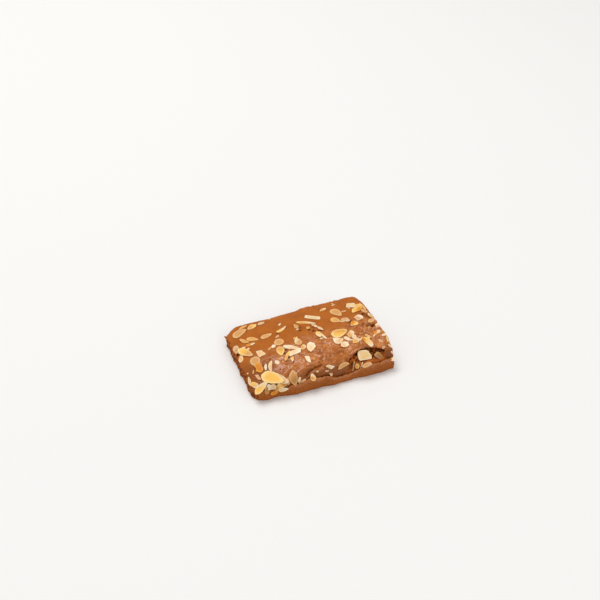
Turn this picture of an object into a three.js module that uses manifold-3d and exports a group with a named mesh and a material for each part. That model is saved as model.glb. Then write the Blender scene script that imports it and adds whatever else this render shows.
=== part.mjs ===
// A slab of speculoos cake with flaked almonds baked into its crust, in millimetres, +Z up.
// The origin is on the flat base, under the middle. X runs along the slab, and the front is at -Y.
// The left end is low, the right end is a tall cut. The crust rolls over along the front, folds
// above a thin ledge where it met the tin, and has torn open near the right front corner.

import * as THREE from "three";
import Module from "manifold-3d";

const wasm = await Module();
wasm.setup();

// Driving dimensions
const LENGTH = 144;
const WIDTH = 98;
const CROWN = 25.5;

// Plan
const LEFT = -LENGTH / 2 + 1;
const RIGHT = LENGTH / 2 - 0.6;
const FRONT = -WIDTH / 2 + 2.6;
const BACK = WIDTH / 2 - 0.6;
const EDGE_WOBBLE = 0.45;

// Rise of the crust from the low left end to the crown: steep at first, then gentle
const LEFT_HEIGHT = 10.5;
const LEFT_STEEP_RISE = 10.5;
const LEFT_STEEP_REACH = 11;
const GENTLE_RISE = CROWN - LEFT_HEIGHT - LEFT_STEEP_RISE;
const GENTLE_FROM = -60;
const GENTLE_TO = 10;

// Shoulders that round the crust down to its rim
const FRONT_SHOULDER = 22;
const BACK_SHOULDER = 32;
const RIGHT_SHOULDER = 3;
const RIGHT_DROP = 2.2;
const BACK_RIM_LEFT = 13.5;
const BACK_RIM_RIGHT = 17.2;
const BACK_STEP_X = 8;

// Ledge along the front, where the crust met the tin: it swells in one place and sinks in another
const LEDGE_HEIGHT = 11;
const LEDGE_OUT = 2.4;
const LEDGE_SWELL = { x: -17, reach: 10, rise: 3.6 };
const LEDGE_DIP = { x: 14, reach: 13, fall: 3 };
const LEDGE_HIGH_END = { x: 46, reach: 12, rise: 1 };

// Almond flakes
const FLAKE_THICKNESS = 1.6;
const FLAKE_SUNK = 0.5;
const BIG_FLAKE_SIDES = 10;
const SMALL_FLAKE_SIDES = 7;
const BIG_FLAKE_LENGTH = 8;

// Mesh density
const CELLS_ALONG = 36;
const CELLS_ACROSS = 26;
const SLIVER = 0.04;

const COLOURS = { crust: 0xa9683a };

const { PI, sin, cos, exp, sqrt, abs, min, max, hypot } = Math;
const clamp = (t) => min(max(t, 0), 1);
const mix = (a, b, t) => a + (b - a) * t;
const smooth = (a, b, t) => {
  const s = clamp((t - a) / (b - a));
  return s * s * (3 - 2 * s);
};
const bell = (distance, reach) => exp(-((distance / reach) ** 2));
const degrees = (d) => (d * PI) / 180;

// Seeded draw between 0 and 1 (mulberry32)
function seeded(seed) {
  let state = seed;
  return () => {
    state = (state + 0x6d2b79f5) | 0;
    let t = Math.imul(state ^ (state >>> 15), 1 | state);
    t = (t + Math.imul(t ^ (t >>> 7), 61 | t)) ^ t;
    return ((t ^ (t >>> 14)) >>> 0) / 4294967296;
  };
}

// Distance in plan from a point to a line of points
function distanceTo(line, x, y) {
  let nearest = Infinity;
  for (let i = 0; i + 1 < line.length; i++) {
    const [ax, ay] = line[i];
    const [bx, by] = line[i + 1];
    const along = clamp(
      ((x - ax) * (bx - ax) + (y - ay) * (by - ay)) / ((bx - ax) ** 2 + (by - ay) ** 2),
    );
    nearest = min(nearest, hypot(x - mix(ax, bx, along), y - mix(ay, by, along)));
  }
  return nearest;
}

// Crust height, without its wrinkles

// The crust keeps at least this far above its rim at the low left end
const LEAST_DOME = { front: 2, back: 3 };

function riseAlong(x) {
  const fromLeft = max(x - LEFT, 0);
  const steep = LEFT_STEEP_RISE * (1 - exp(-fromLeft / LEFT_STEEP_REACH));
  return LEFT_HEIGHT + steep + GENTLE_RISE * smooth(GENTLE_FROM, GENTLE_TO, x);
}

function quarterRound(inset, reach) {
  const t = 1 - clamp(inset / reach);
  return sqrt(1 - t * t);
}

function backRim(x) {
  return mix(BACK_RIM_LEFT, BACK_RIM_RIGHT, smooth(BACK_STEP_X - 5, BACK_STEP_X + 3, x));
}

function frontRim(x) {
  const swell = LEDGE_SWELL.rise * bell(x - LEDGE_SWELL.x, LEDGE_SWELL.reach);
  const dip = LEDGE_DIP.fall * bell(x - LEDGE_DIP.x, LEDGE_DIP.reach);
  const highEnd = LEDGE_HIGH_END.rise * bell(x - LEDGE_HIGH_END.x, LEDGE_HIGH_END.reach);
  return LEDGE_HEIGHT + swell - dip + highEnd;
}

function crustHeight(x, y) {
  const dome = riseAlong(x);
  const lowFront = min(frontRim(x), dome - LEAST_DOME.front);
  const lowBack = min(backRim(x), dome - LEAST_DOME.back);
  const front = mix(lowFront, dome, quarterRound(y - FRONT, FRONT_SHOULDER));
  const back = mix(lowBack, dome, quarterRound(BACK - y, BACK_SHOULDER));
  const right = RIGHT_DROP * (1 - quarterRound(RIGHT - x, RIGHT_SHOULDER));
  return front + back - dome - right;
}

// Folds and wrinkles in the crust: each fold is a line of plan points with its depth and reach

const FOLDS = [
  { line: [[-21, -46.6], [-17, -43.6], [-13, -42], [-8.5, -41], [-4.5, -40.4]], depth: 2.6, reach: 1.9 },
  { line: [[-28, -42], [-22, -40], [-15, -37.5]], depth: -1.2, reach: 4 },
  { line: [[-10, -44.5], [0, -44], [10, -43.5]], depth: -0.8, reach: 3 },
  { line: [[30, -33], [42, -29.5], [55, -32]], depth: -0.8, reach: 4 },
  { line: [[-6, -24], [4, -26], [14, -22]], depth: 0.7, reach: 3.5 },
  { line: [[40, -3], [52, -6], [60, -7]], depth: 0.7, reach: 3 },
  { line: [[48, -12], [56, -14], [64, -11]], depth: 0.8, reach: 3 },
  { line: [[60, 12], [64, 9], [66, 3]], depth: 1.6, reach: 2.4 },
  { line: [[61, -7], [67, -7]], depth: 1.8, reach: 2.2 },
];

function crustLumps(x, y) {
  const frontHalf = smooth(10, -20, y);
  const broad = 0.45 * sin(x / 9.5 + 1.3) * cos(y / 7.5 - 0.4);
  const fine = 0.4 * frontHalf * sin(x / 3.9 + y / 6.1) * cos(y / 4.3 - x / 8.2);
  return broad + fine;
}

function crustRelief(x, y) {
  let out = crustLumps(x, y);
  for (const { line, depth, reach } of FOLDS) out -= depth * bell(distanceTo(line, x, y), reach);
  return out;
}

function crustPoint(x, y) {
  return new THREE.Vector3(x, y, crustHeight(x, y));
}

const SLOPE_STEP = 0.4;

function crustNormal(x, y) {
  const step = SLOPE_STEP;
  const slopeX = (crustHeight(x + step, y) - crustHeight(x - step, y)) / (2 * step);
  const slopeY = (crustHeight(x, y + step) - crustHeight(x, y - step)) / (2 * step);
  return new THREE.Vector3(-slopeX, -slopeY, 1).normalize();
}

// Edges in plan. u runs 0 to 1 from left to right, v 0 to 1 from front to back.

const CORNER_SHARE = 0.09;
const CORNER_POWER = 1.6;

const wobble = (t, phase) => EDGE_WOBBLE * (sin(t * 23 + phase) + 0.6 * sin(t * 51 + 2 * phase));

// How far rounded corners draw an edge in, at its start and at its end
function cornerPull(t, pullAtStart, pullAtEnd) {
  const start = 1 - smooth(0, CORNER_SHARE, t);
  const end = smooth(1 - CORNER_SHARE, 1, t);
  return pullAtStart * start ** CORNER_POWER + pullAtEnd * end ** CORNER_POWER;
}

const leftEdge = (v) => LEFT + cornerPull(v, 3.2, 1) + wobble(v, 0.7);
const frontEdge = (u) => FRONT + cornerPull(u, 2.6, 0.8) + wobble(u, 4.4);
const backEdge = (u) => BACK - cornerPull(u, 1.6, 1.4) + wobble(u, 5.2);

function rightEdge(v) {
  const narrowFront = 1.2 * smooth(0.3, 0, v);
  const narrowBack = 2.2 * smooth(0.62, 1, v);
  return RIGHT - narrowFront - narrowBack - cornerPull(v, 0.8, 0.8) + wobble(v, 2.1);
}

// Grid lines gather towards the edges, where the crust turns down
const GATHERING = 0.72;
const towardsEdges = (t) => mix(t, (1 - cos(PI * t)) / 2, GATHERING);

function topVertex(i, j) {
  const u = towardsEdges(i / CELLS_ALONG);
  const v = towardsEdges(j / CELLS_ACROSS);
  const x = mix(leftEdge(v), rightEdge(v), u);
  const y = mix(frontEdge(u), backEdge(u), v);
  const edge = min(i, CELLS_ALONG - i, j, CELLS_ACROSS - j);
  const relief = edge === 0 ? 0 : crustRelief(x, y);
  return crustPoint(x, y).addScaledVector(crustNormal(x, y), relief);
}

// The side below the rim: how far each row stands out and how far down it is, on a plain side
// and on the front, where the crust dips and then rises to the ledge.

const PLAIN_SIDE = [
  [0.15, 0.1], [0.3, 0.22], [0.3, 0.38], [0.2, 0.58], [0.1, 0.8], [0, 1],
];
const LEDGE_SIDE = [
  [0.2, 0.9], [1, 0], [2, -0.5], [LEDGE_OUT, 1], [LEDGE_OUT - 0.2, 4.8], [LEDGE_OUT - 0.4, LEDGE_HEIGHT],
];
const SIDE_ROUGHNESS = 0.3;

function sideVertex(rim, outward, row, ledge) {
  const [plainOut, plainDown] = PLAIN_SIDE[row];
  const [ledgeOut, ledgeDown] = LEDGE_SIDE[row];
  const last = row === PLAIN_SIDE.length - 1;
  const rough = last ? 0 : SIDE_ROUGHNESS * sin(rim.x * 0.9 + rim.y * 1.3 + row * 2.2);
  const out = mix(plainOut, ledgeOut, ledge) + rough;
  const down = mix(plainDown * rim.z, min(ledgeDown, rim.z * 0.8), ledge);
  return new THREE.Vector3(
    rim.x + outward.x * out,
    rim.y + outward.y * out,
    last ? 0 : rim.z - down,
  );
}

// Makes a manifold solid from points and triangles
function solidFrom(points, triangles) {
  const vertProperties = new Float32Array(points.length * 3);
  points.forEach((p, i) => vertProperties.set([p.x, p.y, p.z], 3 * i));
  const solid = new wasm.Manifold(
    new wasm.Mesh({ numProp: 3, vertProperties, triVerts: new Uint32Array(triangles.flat()) }),
  );
  if (solid.volume() <= 0) throw new Error("a piece is inside out");
  return solid;
}

function cakeBody() {
  const points = [];
  const triangles = [];
  const index = (i, j) => j * (CELLS_ALONG + 1) + i;
  const quad = (a, b, c, d) => triangles.push([a, b, c], [a, c, d]);

  for (let j = 0; j <= CELLS_ACROSS; j++)
    for (let i = 0; i <= CELLS_ALONG; i++) points.push(topVertex(i, j));
  for (let j = 0; j < CELLS_ACROSS; j++)
    for (let i = 0; i < CELLS_ALONG; i++)
      quad(index(i, j), index(i + 1, j), index(i + 1, j + 1), index(i, j + 1));

  // Rim loop, anticlockwise from the front left corner
  const rim = [];
  for (let i = 0; i < CELLS_ALONG; i++) rim.push(index(i, 0));
  for (let j = 0; j < CELLS_ACROSS; j++) rim.push(index(CELLS_ALONG, j));
  for (let i = CELLS_ALONG; i > 0; i--) rim.push(index(i, CELLS_ACROSS));
  for (let j = CELLS_ACROSS; j > 0; j--) rim.push(index(0, j));

  let above = rim;
  for (let row = 0; row < PLAIN_SIDE.length; row++) {
    const here = rim.map((id, k) => {
      const before = points[rim[(k + rim.length - 1) % rim.length]];
      const after = points[rim[(k + 1) % rim.length]];
      const outward = new THREE.Vector3(after.y - before.y, before.x - after.x, 0).normalize();
      const ledge = smooth(0.6, 0.95, -outward.y) * smooth(-46, -34, points[id].x);
      points.push(sideVertex(points[id], outward, row, ledge));
      return points.length - 1;
    });
    here.forEach((id, k) => {
      const next = (k + 1) % rim.length;
      quad(id, here[next], above[next], above[k]);
    });
    above = here;
  }

  // Flat base, filled from its middle
  const middle = points.push(new THREE.Vector3(0, 0, 0)) - 1;
  above.forEach((id, k) => triangles.push([middle, above[(k + 1) % above.length], id]));
  return solidFrom(points, triangles);
}

// The tear: crust lost between an arched upper rim and the ledge. Each point of its section is
// [y, z] at the widest place, and the sections shrink towards both ends.

const TEAR_LEFT = 21.5;
const TEAR_RIGHT = 62.5;
const TEAR_SECTIONS = 16;
const TEAR_FOOT = [-46.2, 12.6];
const TEAR_SECTION = [
  [-34.6, 23.6], [-33.6, 20.4], [-36.6, 17.4], [-40, 14.4], [-43.6, 10.6], [-46.6, 11],
  [-52, 15], [-48, 27], [-38, 32],
];

const TEAR_LEAST = 0.1;

// How wide the tear gapes from its left end, 0, to its right end, 1
function gape(t) {
  const opens = smooth(-0.12, 0.55, t) ** 0.8;
  const narrows = mix(1, 0.55, smooth(0.55, 0.95, t));
  const ends = 1 - smooth(0.93, 1, t);
  return max(opens * narrows * ends, TEAR_LEAST);
}

function tear() {
  const points = [];
  const triangles = [];
  const draw = seeded(7);
  const sides = TEAR_SECTION.length;
  for (let k = 0; k <= TEAR_SECTIONS; k++) {
    const t = k / TEAR_SECTIONS;
    const opening = gape(t);
    for (const [y, z] of TEAR_SECTION) {
      const ragged = 1 + 0.14 * (draw() - 0.5);
      points.push(
        new THREE.Vector3(
          mix(TEAR_LEFT, TEAR_RIGHT, t),
          mix(TEAR_FOOT[0], y, opening * ragged),
          mix(TEAR_FOOT[1], z, opening * ragged),
        ),
      );
    }
  }
  const at = (k, s) => k * sides + (s % sides);
  for (let k = 0; k < TEAR_SECTIONS; k++)
    for (let s = 0; s < sides; s++)
      triangles.push([at(k, s), at(k + 1, s), at(k, s + 1)], [at(k, s + 1), at(k + 1, s), at(k + 1, s + 1)]);
  for (const [k, turned] of [[0, false], [TEAR_SECTIONS, true]])
    for (let s = 1; s + 1 < sides; s++)
      triangles.push(turned ? [at(k, 0), at(k, s + 1), at(k, s)] : [at(k, 0), at(k, s), at(k, s + 1)]);
  return solidFrom(points, triangles);
}

// Holes where the crust broke: place, length, width, turn and depth
const HOLES = [
  [-28, -10.5, 5, 2.4, -10, 2.2],
  [-69.5, 9.5, 4, 2.6, 80, 2.2],
  [3, 6.2, 3, 2.4, 0, 1.8],
  [6.3, 3.2, 4, 2.6, 20, 2.2],
  [12.5, 2, 6, 2.2, -25, 2],
  [46, 4.2, 7, 1.8, 32, 2],
  [38.6, -5.6, 4, 1.6, 45, 1.8],
  [10, -7.4, 2.6, 2.6, 0, 1.8],
  [62.6, 11.4, 3.4, 2.4, -50, 2],
  [65, -6.8, 6, 3, 15, 2.4],
  [70, 3.6, 4, 2.4, 80, 2],
];

function hole([x, y, length, width, turn, depth]) {
  const ball = new THREE.IcosahedronGeometry(1, 0);
  const place = new THREE.Matrix4().compose(
    crustPoint(x, y),
    new THREE.Quaternion().setFromEuler(new THREE.Euler(0, 0, degrees(turn))),
    new THREE.Vector3(length / 2, width / 2, depth),
  );
  const position = ball.getAttribute("position");
  const points = [];
  const triangles = [];
  const seen = new Map();
  for (let k = 0; k < position.count; k++) {
    const p = new THREE.Vector3().fromBufferAttribute(position, k);
    const key = p.toArray().map((c) => c.toFixed(4)).join();
    if (!seen.has(key)) seen.set(key, points.push(p.applyMatrix4(place)) - 1);
    if (k % 3 === 0) triangles.push([]);
    triangles.at(-1).push(seen.get(key));
  }
  return solidFrom(points, triangles);
}

// Flakes, as they fell. Each is [x, y, length, width, turn, shape, tilt, roll, lift]:
// turn is the angle of its length from +X, tilt raises its far end, roll raises its left side,
// all in degrees, and lift raises it above the crust. The last three may be left out.

const FLAKES = [
  // Back left
  [-59.5, 34.5, 15, 10, 5, "slice"],
  [-54, 42.5, 11, 4.5, 10, "chip", 0, 20],
  [-45.5, 38, 11.5, 9, 12, "chip", 0, 8],
  [-36.3, 38.5, 9, 5.5, 15, "chip", -8, 10],
  [-20.5, 26.5, 4.4, 2.2, 45, "slice"],
  // Left end
  [-68.7, 16.5, 11, 6.6, 95, "chip"],
  [-63, 5, 20, 7.4, -60, "slice", 0, 0, 0.5],
  [-69, 2, 8, 6, 60, "slice"],
  [-59, 19.8, 12, 3.6, -55, "curl"],
  [-51.5, 18.5, 12.5, 4.8, -35, "slice"],
  [-55.5, 12.2, 8, 5, -8, "curl", 0, 20],
  [-62, 12.6, 5, 2.6, -15, "chip"],
  [-51, -4.5, 11, 8, -58, "chip"],
  [-58.5, -10.5, 12, 9.6, 90, "round"],
  [-57.8, -19.8, 12.4, 9.8, 70, "chip", 6, 8, 0.4],
  // Left front
  [-52.2, -23.2, 9.4, 3.3, 68, "chip"],
  [-47.7, -24, 14, 4.8, 68, "chip"],
  [-41, -22.5, 6, 4.2, 100, "round"],
  [-70, -28.2, 10, 3, 78, "slice", 0, 30],
  [-67.8, -36.6, 9.7, 5.5, -62, "chip"],
  [-62.6, -30.6, 9, 4.4, -75, "chip"],
  [-48.6, -39, 25, 9.4, -36, "slice"],
  [-51.4, -38.2, 21.7, 11.6, -38, "slice", 3, 0, 0.9],
  [-62.8, -41.8, 15, 7.5, 12, "slice", 6, 0, 0.6],
  [-59.3, -45.6, 7.3, 4.2, 83, "chip"],
  [-55.2, -45, 7.2, 5.8, -25, "chip", 0, 20],
  [-49.5, -46, 5.4, 5, 0, "chip"],
  [-44.6, -45.8, 9, 6.6, -7, "curl", 0, 20, 0.4],
  [-32.4, -43.2, 16, 10.3, 76, "slice", 4, 0, 0.4],
  [-38, -43.8, 6.9, 2.6, 83, "slice"],
  [-24.9, -46.6, 8.7, 3.3, 22, "slice"],
  // Middle left
  [-38, 16, 12, 6, 5, "slice"],
  [-22, 17.8, 12, 4.4, 20, "curl"],
  [-28.5, 10.5, 6, 3.4, 30, "chip"],
  [-30, 2.6, 9.6, 9, 0, "round"],
  [-36.7, -0.8, 5, 4.4, 30, "chip"],
  [-32.6, -9.6, 13.5, 8, 85, "slice"],
  [-21.5, -9.5, 16, 5.6, -38, "slice", 0, 14, 0.6],
  [-13.6, -5, 10, 6.6, 95, "slice"],
  [-29.8, -20, 14, 5, 58, "curl"],
  [-23, -18.5, 12, 8, 20, "slice", 0, 6, 0.8],
  [-11.5, -14.5, 7.5, 5, 50, "chip"],
  [-4.5, -16.6, 14, 9, 72, "slice"],
  [-13, -31, 9.6, 5, 100, "slice"],
  // Middle right
  [13.5, 23, 15, 6.6, -28, "slat"],
  [9, 27.2, 7, 3, 60, "curl"],
  [5, 19.3, 19, 4, -27, "slice"],
  [-7, 17, 7, 4, 100, "slice"],
  [2.6, 9.2, 4.4, 3.6, 0, "chip"],
  [9.6, 10.6, 7.4, 3.6, -62, "slice"],
  [13.6, 4.6, 7.4, 3, -60, "slice"],
  [9, -3.4, 9, 6, 100, "curl"],
  [12.6, -8.6, 8.5, 2.2, -75, "curl"],
  [29, -9.5, 18, 10.6, 12, "slice", 0, 0, 0.5],
  [38, -14, 10.5, 7.2, 34, "chip"],
  [22.5, -19, 11.5, 7.6, 62, "chip"],
  [26.6, -26, 9, 7.6, 10, "chip"],
  [31.5, -19.4, 6.4, 3.2, -60, "chip", 0, 20],
  [39.5, -18.6, 5.4, 4.4, 80, "chip", 8],
  [38.6, -25, 9, 7, 10, "chip"],
  [48.8, -29.6, 14.6, 7.4, -80, "slice", -3, 6],
  [52.3, -22, 7, 6, -50, "curl"],
  [44.6, -23.4, 6.4, 4, 40, "chip"],
  // Right back
  [28.6, 32.4, 9, 5.6, 15, "chip"],
  [38.6, 22, 14, 9.6, -62, "slice"],
  [46.4, 21.6, 6.4, 3.6, 5, "chip"],
  [41, 36.2, 4.6, 3, 40, "slice"],
  // Crusty bits along the back rim
  [18, 46.4, 6, 3, 5, "chip"],
  [33, 46.6, 5, 3, -10, "chip"],
  [47, 46.2, 6, 3.4, 8, "chip"],
  [60, 45.4, 5, 3, -15, "chip"],
  [57, 29.8, 12, 6, 8, "chip"],
  [61.5, 26, 14, 7, -22, "slice", 0, 6, 0.6],
  [59.8, 19.4, 15, 7.4, 12, "slice", 0, 0, 0.5],
  [68.7, 23.5, 14, 4, -82, "slice", 0, 20],
  [66, 15, 8, 5, -60, "chip"],
  [32.8, 11.6, 10, 7.2, -38, "slice"],
  [42.4, 8.6, 10, 7.6, -40, "chip"],
  [56.4, 7.4, 9, 8, 20, "chip"],
  [48.6, 0.6, 7.6, 6.6, -35, "round"],
  // Right end
  [69, 6, 10, 5.4, 96, "slice", 0, 15],
  [66.6, -1.4, 9, 4.6, 20, "slice"],
  [68.6, -10.4, 6.4, 6, 45, "chip"],
  [63.9, -19.2, 7.8, 6.2, -5, "chip", 6],
  [59.4, -22.2, 5.8, 2.4, 38, "slice"],
  [68.4, -25.2, 4.6, 3.2, 10, "chip"],
  [69, -31.4, 7, 3, 80, "slice", 0, 20],
  [68.6, -38.6, 5, 3.2, -60, "chip"],
  [69.2, -42.6, 4, 2.6, -50, "chip"],
  [61.5, -32, 5, 3, -50, "chip"],
  // Front
  [3.6, -43.4, 8.6, 4.2, -20, "chip"],
  [17, -45, 12.5, 6, 15, "half"],
];

// Pieces on the ledge, in the tear or on a side: [x, y, z, length, width, turn, shape, tilt, roll]
const LOW_FLAKES = [
  // Left end and left front side
  [-70.4, 46, 6.6, 5, 2.6, 60, "chip", 50, 0],
  [-52.5, -46.8, 6.4, 7, 3.6, 3, "chip", 0, 75],
  [-43.4, -47, 8.4, 9.8, 3.7, -8, "slice", 0, 65],
  // Ledge
  [-14.6, -46.4, 15.4, 7.4, 5, 92, "slice", 28, 0],
  [3.6, -46, 14.6, 7.6, 3, 98, "slice", 50, 0],
  [40.3, -47.8, 9.8, 10, 3.6, 3, "chip", 0, 55],
  [65.4, -45.4, 13.6, 5, 3.4, 40, "chip", 20, 0],
  [69.9, -45.6, 7.6, 4.6, 4, -20, "chip", 0, 20],
  // In the tear: an upright slice seen on edge, a bit, a second thin edge, then the big chip that
  // leans on the rim with the piece it is stuck to behind it, and last a standing piece
  [27.3, -44.8, 13.6, 12.4, 5.4, -22, "slice", 84, 0],
  [31.2, -45.4, 13.2, 5, 4, 60, "chip", 50, 0],
  [35.7, -45, 12.8, 7.4, 4, -22, "slice", 70, 0],
  [41.9, -39.4, 18.8, 14.5, 11.5, 0, "half", 0, 43],
  [41.9, -36.4, 19.6, 9, 8, 0, "chip", 0, 50],
  [56, -43, 15.4, 9.8, 8, 108, "chip", 50, 0],
];

// How far out each shape's outline stands at an angle, as a share of its half length or width
const squared = (t) => Math.sign(t) * abs(t) ** 0.4;
const OUTLINES = {
  slice: (a) => [cos(a), sin(a) * (1 - 0.3 * cos(a)) * abs(sin(a)) ** 0.12],
  round: (a) => [cos(a), sin(a)],
  chip: (a) => [min(cos(a), 0.7) / 0.85 + 0.17, sin(a) * (1 - 0.16 * cos(a))],
  half: (a) => [cos(a), max(sin(a), -0.35) * 1.48 - 0.48],
  slat: (a) => [squared(cos(a)), squared(sin(a)) * (1 - 0.12 * cos(a))],
  curl: (a) => [cos(a), sin(a) * (1 - 0.2 * cos(a))],
};

// How far the middle stands above the ends, as a share of the length
const BENDS = { slice: 0.02, round: 0.01, chip: 0.01, half: 0.02, slat: 0, curl: -0.12 };

function flakeSolid({ centre, normal, length, width, turn, shape, tilt = 0, roll = 0, draw }) {
  const sides = length > BIG_FLAKE_LENGTH ? BIG_FLAKE_SIDES : SMALL_FLAKE_SIDES;
  const upright = new THREE.Quaternion().setFromUnitVectors(new THREE.Vector3(0, 0, 1), normal);
  const lay = new THREE.Quaternion().setFromEuler(
    new THREE.Euler(degrees(roll), degrees(-tilt), degrees(turn), "ZYX"),
  );
  const place = (x, y, z) => new THREE.Vector3(x, y, z).applyQuaternion(lay).applyQuaternion(upright).add(centre);
  const bend = BENDS[shape] * length;
  const arch = (x) => bend * (0.35 - (2 * x / length) ** 2);
  const points = [place(0, 0, arch(0) + FLAKE_THICKNESS - FLAKE_SUNK), place(0, 0, -FLAKE_SUNK - bend * 0.4)];
  for (let s = 0; s < sides; s++) {
    const [along, across] = OUTLINES[shape]((2 * PI * s) / sides);
    const ragged = 1 + 0.1 * (draw() - 0.5);
    const x = (along * ragged * length) / 2;
    const y = (across * ragged * width) / 2;
    points.push(place(x, y, arch(x) + 0.7 * FLAKE_THICKNESS - FLAKE_SUNK), place(x, y, arch(x) - FLAKE_SUNK));
  }
  const triangles = [];
  for (let s = 0; s < sides; s++) {
    const a = 2 + 2 * s;
    const b = 2 + 2 * ((s + 1) % sides);
    triangles.push([0, a, b], [1, b + 1, a + 1], [a, a + 1, b + 1], [a, b + 1, b]);
  }
  return solidFrom(points, triangles);
}

function crustFlake([x, y, length, width, turn, shape, tilt, roll, lift = 0], draw) {
  const normal = crustNormal(x, y);
  const centre = crustPoint(x, y).addScaledVector(normal, crustRelief(x, y) + lift);
  return flakeSolid({ centre, normal, length, width, turn, shape, tilt, roll, draw });
}

function lowFlake([x, y, z, length, width, turn, shape, tilt, roll], draw) {
  const centre = new THREE.Vector3(x, y, z);
  const normal = new THREE.Vector3(0, 0, 1);
  return flakeSolid({ centre, normal, length, width, turn, shape, tilt, roll, draw });
}

// Joins everything, drops any sealed pocket left under a flake, and clears the slivers of joining
function cake() {
  let solid = cakeBody().subtract(tear());
  for (const row of HOLES) solid = solid.subtract(hole(row));
  const draw = seeded(31);
  for (const row of FLAKES) solid = solid.add(crustFlake(row, draw));
  for (const row of LOW_FLAKES) solid = solid.add(lowFlake(row, draw));
  const shells = solid.asOriginal().simplify(SLIVER).decompose();
  return shells.reduce((biggest, shell) => (shell.volume() > biggest.volume() ? shell : biggest));
}

function geometryOf(solid) {
  const { vertProperties, numProp, triVerts } = solid.getMesh();
  const position = new Float32Array((vertProperties.length / numProp) * 3);
  for (let k = 0; k < position.length / 3; k++)
    position.set(vertProperties.subarray(k * numProp, k * numProp + 3), 3 * k);
  const geometry = new THREE.BufferGeometry();
  geometry.setAttribute("position", new THREE.BufferAttribute(position, 3));
  geometry.setIndex(new THREE.BufferAttribute(new Uint32Array(triVerts), 1));
  geometry.computeVertexNormals();
  return geometry;
}

const material = new THREE.MeshStandardMaterial({ color: COLOURS.crust, roughness: 0.45, metalness: 0 });
const mesh = new THREE.Mesh(geometryOf(cake()), material);
mesh.name = "speculoos_cake";

const group = new THREE.Group();
group.add(mesh);

export default group;
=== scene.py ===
# %% [markdown]
# # A slab of speculoos cake with flaked almonds
#
# This lesson dresses a plain faceted slab as a real cake. Cake is uneven everywhere: a crust that
# swelled, wrinkled and tore, crumb full of bubbles, and thin almond flakes that lie as they fell.
# All of it could be sculpted by hand, but then nothing could be changed later. Here each form is
# a small function of its place on the slab, so a fold or a flake moves when one number moves.
#
# Lengths are in millimetres until a mesh is made, because a cook thinks in millimetres. X runs
# along the slab, the front is at -Y, and Z = 0 is the flat underside.

# %% Load the plain slab
import math
import random

import bpy
import numpy as np
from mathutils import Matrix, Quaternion, Vector, noise


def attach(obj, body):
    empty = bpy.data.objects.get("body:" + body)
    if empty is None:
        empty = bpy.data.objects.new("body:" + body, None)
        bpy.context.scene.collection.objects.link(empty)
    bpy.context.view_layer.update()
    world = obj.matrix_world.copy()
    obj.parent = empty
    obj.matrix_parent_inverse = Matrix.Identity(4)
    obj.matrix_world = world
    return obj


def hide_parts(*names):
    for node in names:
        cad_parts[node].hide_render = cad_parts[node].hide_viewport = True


MM = 0.001
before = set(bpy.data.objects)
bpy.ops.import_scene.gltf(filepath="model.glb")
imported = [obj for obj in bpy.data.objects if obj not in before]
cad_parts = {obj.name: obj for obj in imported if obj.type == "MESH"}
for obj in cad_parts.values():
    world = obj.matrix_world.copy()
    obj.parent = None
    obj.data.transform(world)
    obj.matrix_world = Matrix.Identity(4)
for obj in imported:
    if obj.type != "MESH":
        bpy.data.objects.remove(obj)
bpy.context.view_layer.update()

# %% [markdown]
# ## The viewpoint
#
# A photograph of food is usually taken from the height of someone seated at the table. The camera
# could be aimed with a constraint, but a place and three angles are easier to check: how far it
# is turned round the slab, how far it looks down, and how far it is rolled.

# %% Camera
CAMERA_PLACE = (-0.23653, -0.55111, 0.52653)
CAMERA_TURN = math.radians(-22.337)
CAMERA_LOOKS_DOWN = math.radians(37.473)
CAMERA_ROLL = math.radians(1.554)
LENS_MM = 48.54
SENSOR_MM = 36

scene = bpy.context.scene
camera = bpy.data.objects.new("camera", bpy.data.cameras.new("camera"))
scene.collection.objects.link(camera)
scene.camera = camera
camera.data.lens = LENS_MM
camera.data.sensor_width = SENSOR_MM
camera.data.clip_start = 0.01
camera.data.dof.use_dof = False

backwards = Vector((
    math.sin(CAMERA_TURN) * math.cos(CAMERA_LOOKS_DOWN),
    -math.cos(CAMERA_TURN) * math.cos(CAMERA_LOOKS_DOWN),
    math.sin(CAMERA_LOOKS_DOWN),
))
camera.location = CAMERA_PLACE
camera.rotation_mode = "QUATERNION"
camera.rotation_quaternion = (-backwards).to_track_quat("-Z", "Y") @ Quaternion((0, 0, 1), CAMERA_ROLL)
print("camera is", round(camera.location.length, 2), "m from the slab")

# %% [markdown]
# ## Light and floor
#
# Product pictures use a pale sweep and large soft lamps. A small lamp would give hard shadows
# between the flakes, so the main lamp is a wide panel right above the slab and a little behind
# it: the top is bright, the sides fall off, and the slopes that face the viewer pick up its
# shine. A weaker panel in front keeps the torn side readable, and a pale world fills the rest.
# The world that is seen past the floor is set apart from the world that gives light, so that
# both meet in one even tone.

# %% Floor and world
FLOOR_SIZE = 12.0
FLOOR_COLOUR = (0.86, 0.86, 0.86, 1)
FLOOR_ROUGHNESS = 0.9
WORLD_COLOUR = (1.0, 0.99, 0.975, 1)
WORLD_STRENGTH = 0.49
SEEN_STRENGTH = 1.05

bpy.ops.mesh.primitive_plane_add(size=FLOOR_SIZE)
floor = bpy.context.object
floor.name = "floor"
floor_finish = bpy.data.materials.new("pale_sweep")
floor_finish.use_nodes = True
floor_shader = floor_finish.node_tree.nodes["Principled BSDF"]
floor_shader.inputs["Base Color"].default_value = FLOOR_COLOUR
floor_shader.inputs["Roughness"].default_value = FLOOR_ROUGHNESS
floor.data.materials.append(floor_finish)

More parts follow.
